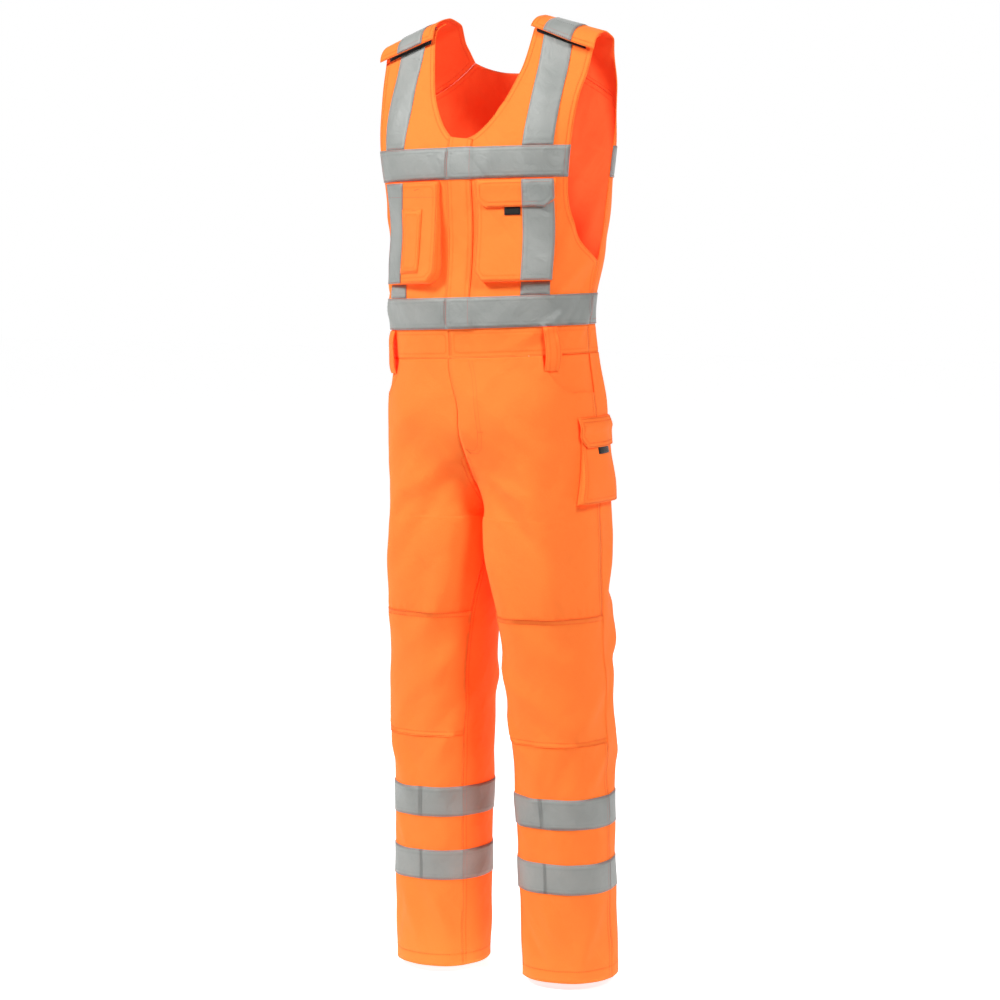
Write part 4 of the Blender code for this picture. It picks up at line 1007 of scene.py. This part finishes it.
def felled_on(node, side):
    """Whether a trouser piece shows the rows of a seam, and not the piece that it is sewn to."""
    x, _, z = side.middle()
    is_front = node.startswith("trouser_front")
    if z <= LEG_END:
        return False
    if abs(x) <= OUTSEAM_FROM and z <= INSEAM_TOP:
        return is_front == node.endswith("left")
    return is_front or abs(x) < CENTRE_WITHIN


def off_the_fly(points):
    x, _, z = points.T
    return (z < TROUSERS_TOP) & ((np.abs(x) > 0.030) | (z < FLY_END))


def round_the_bib(points):
    """The neck, armholes and sides of a bib front; the placket and a tape hide its other edges."""
    return ((np.abs(points[:, 0]) > 0.010) | (points[:, 2] > NECK_END)) & (points[:, 2] > BIB_END)


for hand in ("left", "right"):
    for node in ("trouser_front_" + hand, "trouser_back_" + hand):
        topstitch(node, FELL_ROWS, "orange", lambda side: felled_on(node, side), where=off_the_fly)
        topstitch(node, (LEG_HEM_ROW,), "orange", lambda side: side.middle()[2] < LEG_END, "hem")
    topstitch("bib_front_" + hand, FELL_ROWS, "orange", where=round_the_bib)
    topstitch("back_strap_" + hand, FELL_ROWS, "orange", skins=(OUTER, INNER))
    topstitch("waistband_front_" + hand, FELL_ROWS[:1], "orange")
    note_distance(PIECES["pocket_facing_" + hand], "seam", [])
    topstitch("knee_pocket_" + hand, FELL_ROWS, "orange", level)
    topstitch("chest_pocket_" + hand, FELL_ROWS[:1], "orange")
    for face in ("front", "back"):
        topstitch("belt_loop_%s_%s" % (face, hand), FELL_ROWS[:1], "orange",
                  lambda side: not level(side))
    for strip in ("hook_strip_", "loop_strip_"):
        topstitch(strip + hand, FELL_ROWS[:1], "dark")
topstitch("bib_back", FELL_ROWS, "orange", skins=(OUTER, INNER))
topstitch("waistband_back", FELL_ROWS[:1], "orange")
topstitch("placket", FELL_ROWS[:1], "orange", lambda side: not level(side))
topstitch("chest_pocket_flap", FELL_ROWS, "orange")
topstitch("pen_patch", FELL_ROWS[:1], "orange")
topstitch("cargo_pocket", FELL_ROWS[:1], "orange")
topstitch("cargo_flap", FELL_ROWS, "orange")
for tab in ("chest_tab", "cargo_tab"):
    note_distance(PIECES[tab], "seam", [])
for stretch in STRETCHES:
    topstitch(stretch.node, FELL_ROWS[:1], "red", kind=TAPE_STITCH,
              chosen=lambda side: level(side) or not stretch.node.startswith("leg_tape"))

# Rows that cross a piece, drawn on its front as places across and up: the fly's two curved
# rows, the hem band of the open chest pocket, and the short bars that take the strain.
FLY_CURVE = ((0.0235, -0.541), (0.0300, -0.565), (0.0355, -0.592), (0.0395, -0.635), (0.0405, -0.662),
             (0.0370, -0.681), (0.0280, -0.691), (0.0100, -0.689))
FLY_ROWS = (0.0, -0.006)      # how far aside each row lies
FLY_TURN = -0.66              # below this the curve turns to the centre seam
FLY_BARS = (((0.006, -0.684), (0.014, -0.692)), ((0.034, -0.655), (0.044, -0.655)))
PEN_SLIT = ((-0.082, -0.2735), (-0.070, -0.2705))
POCKET_BAND = ((-0.150, -0.284), (-0.036, -0.284))


def front_line(tree, places, count=60):
    """A smooth line through places on the front, found on the cloth behind them."""
    places = np.array(places, float)
    run = run_along(places)
    found = []
    for here in np.linspace(0, run[-1], count):
        x, z = np.interp(here, run, places[:, 0]), np.interp(here, run, places[:, 1])
        spot = tree.ray_cast(Vector((x, -0.5, z)), Vector((0, 1, 0)))[0]
        if spot is not None:
            found.append(spot)
    return np.array(found)


fly_cloth = skin_tree([PIECES["trouser_front_left"]])
for aside in FLY_ROWS:
    curve = [(x + aside, z - aside * 0.8 * (z < FLY_TURN)) for x, z in FLY_CURVE]
    lay_stitches(fly_cloth, front_line(fly_cloth, curve), "orange")
for bar in FLY_BARS:
    lay_stitches(fly_cloth, front_line(fly_cloth, bar, 12), "orange", BARTACK)
open_pocket = skin_tree([PIECES["chest_pocket_right"]])
lay_stitches(open_pocket, front_line(open_pocket, POCKET_BAND), "orange")
lay_stitches(open_pocket, front_line(open_pocket, PEN_SLIT, 12), "dark", BARTACK)


def thread_finish(name, colour):
    """Spun polyester thread, with a twist along each stitch."""
    finish = Finish(name, Roughness=0.6, Specular_IOR_Level=0.35)
    place = finish.node("ShaderNodeTexCoord", output=3)
    twist = finish.node("ShaderNodeTexNoise", inputs={"Vector": place, "Scale": 900.0, "Detail": 1.0})
    dark = tuple(part * 0.7 for part in colour[:3]) + (1.0,)
    finish.drive("Base Color", finish.node("ShaderNodeValToRGB", {"stops": (
        (0.3, dark), (0.7, colour))}, {0: twist}))
    return finish.material


def sew(thread, finish):
    """All stitches of one thread as one mesh: each a slim eight-sided grain."""
    corners, faces = [], []
    grain = ((0, 4, 2), (2, 4, 1), (1, 4, 3), (3, 4, 0), (2, 5, 0), (1, 5, 2), (3, 5, 1), (0, 5, 3))
    for spot, way, normal, kind in THREAD_ROWS[thread]:
        beside = np.cross(normal, way)
        first = len(corners)
        corners += [spot - way * kind.length / 2, spot + way * kind.length / 2,
                    spot - beside * kind.width / 2 + normal * kind.rise * 0.3,
                    spot + beside * kind.width / 2 + normal * kind.rise * 0.3,
                    spot + normal * kind.rise, spot - normal * kind.rise * 0.4]
        faces += [tuple(first + corner for corner in face) for face in grain]
    mesh = bpy.data.meshes.new(thread + "_stitches")
    mesh.from_pydata([tuple(corner) for corner in corners], [], faces)
    mesh.materials.append(finish)
    bm = bmesh.new()
    bm.from_mesh(mesh)
    bmesh.ops.recalc_face_normals(bm, faces=bm.faces)
    bm.to_mesh(mesh)
    bm.free()
    mesh.shade_smooth()
    stitches = bpy.data.objects.new(thread + "_stitches", mesh)
    bpy.context.scene.collection.objects.link(stitches)
    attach(stitches, "root")


sew("orange", thread_finish("orange_thread", (0.66, 0.070, 0.014, 1)))
sew("red", thread_finish("red_thread", (0.78, 0.120, 0.085, 1)))
sew("dark", thread_finish("dark_thread", (0.020, 0.016, 0.014, 1)))
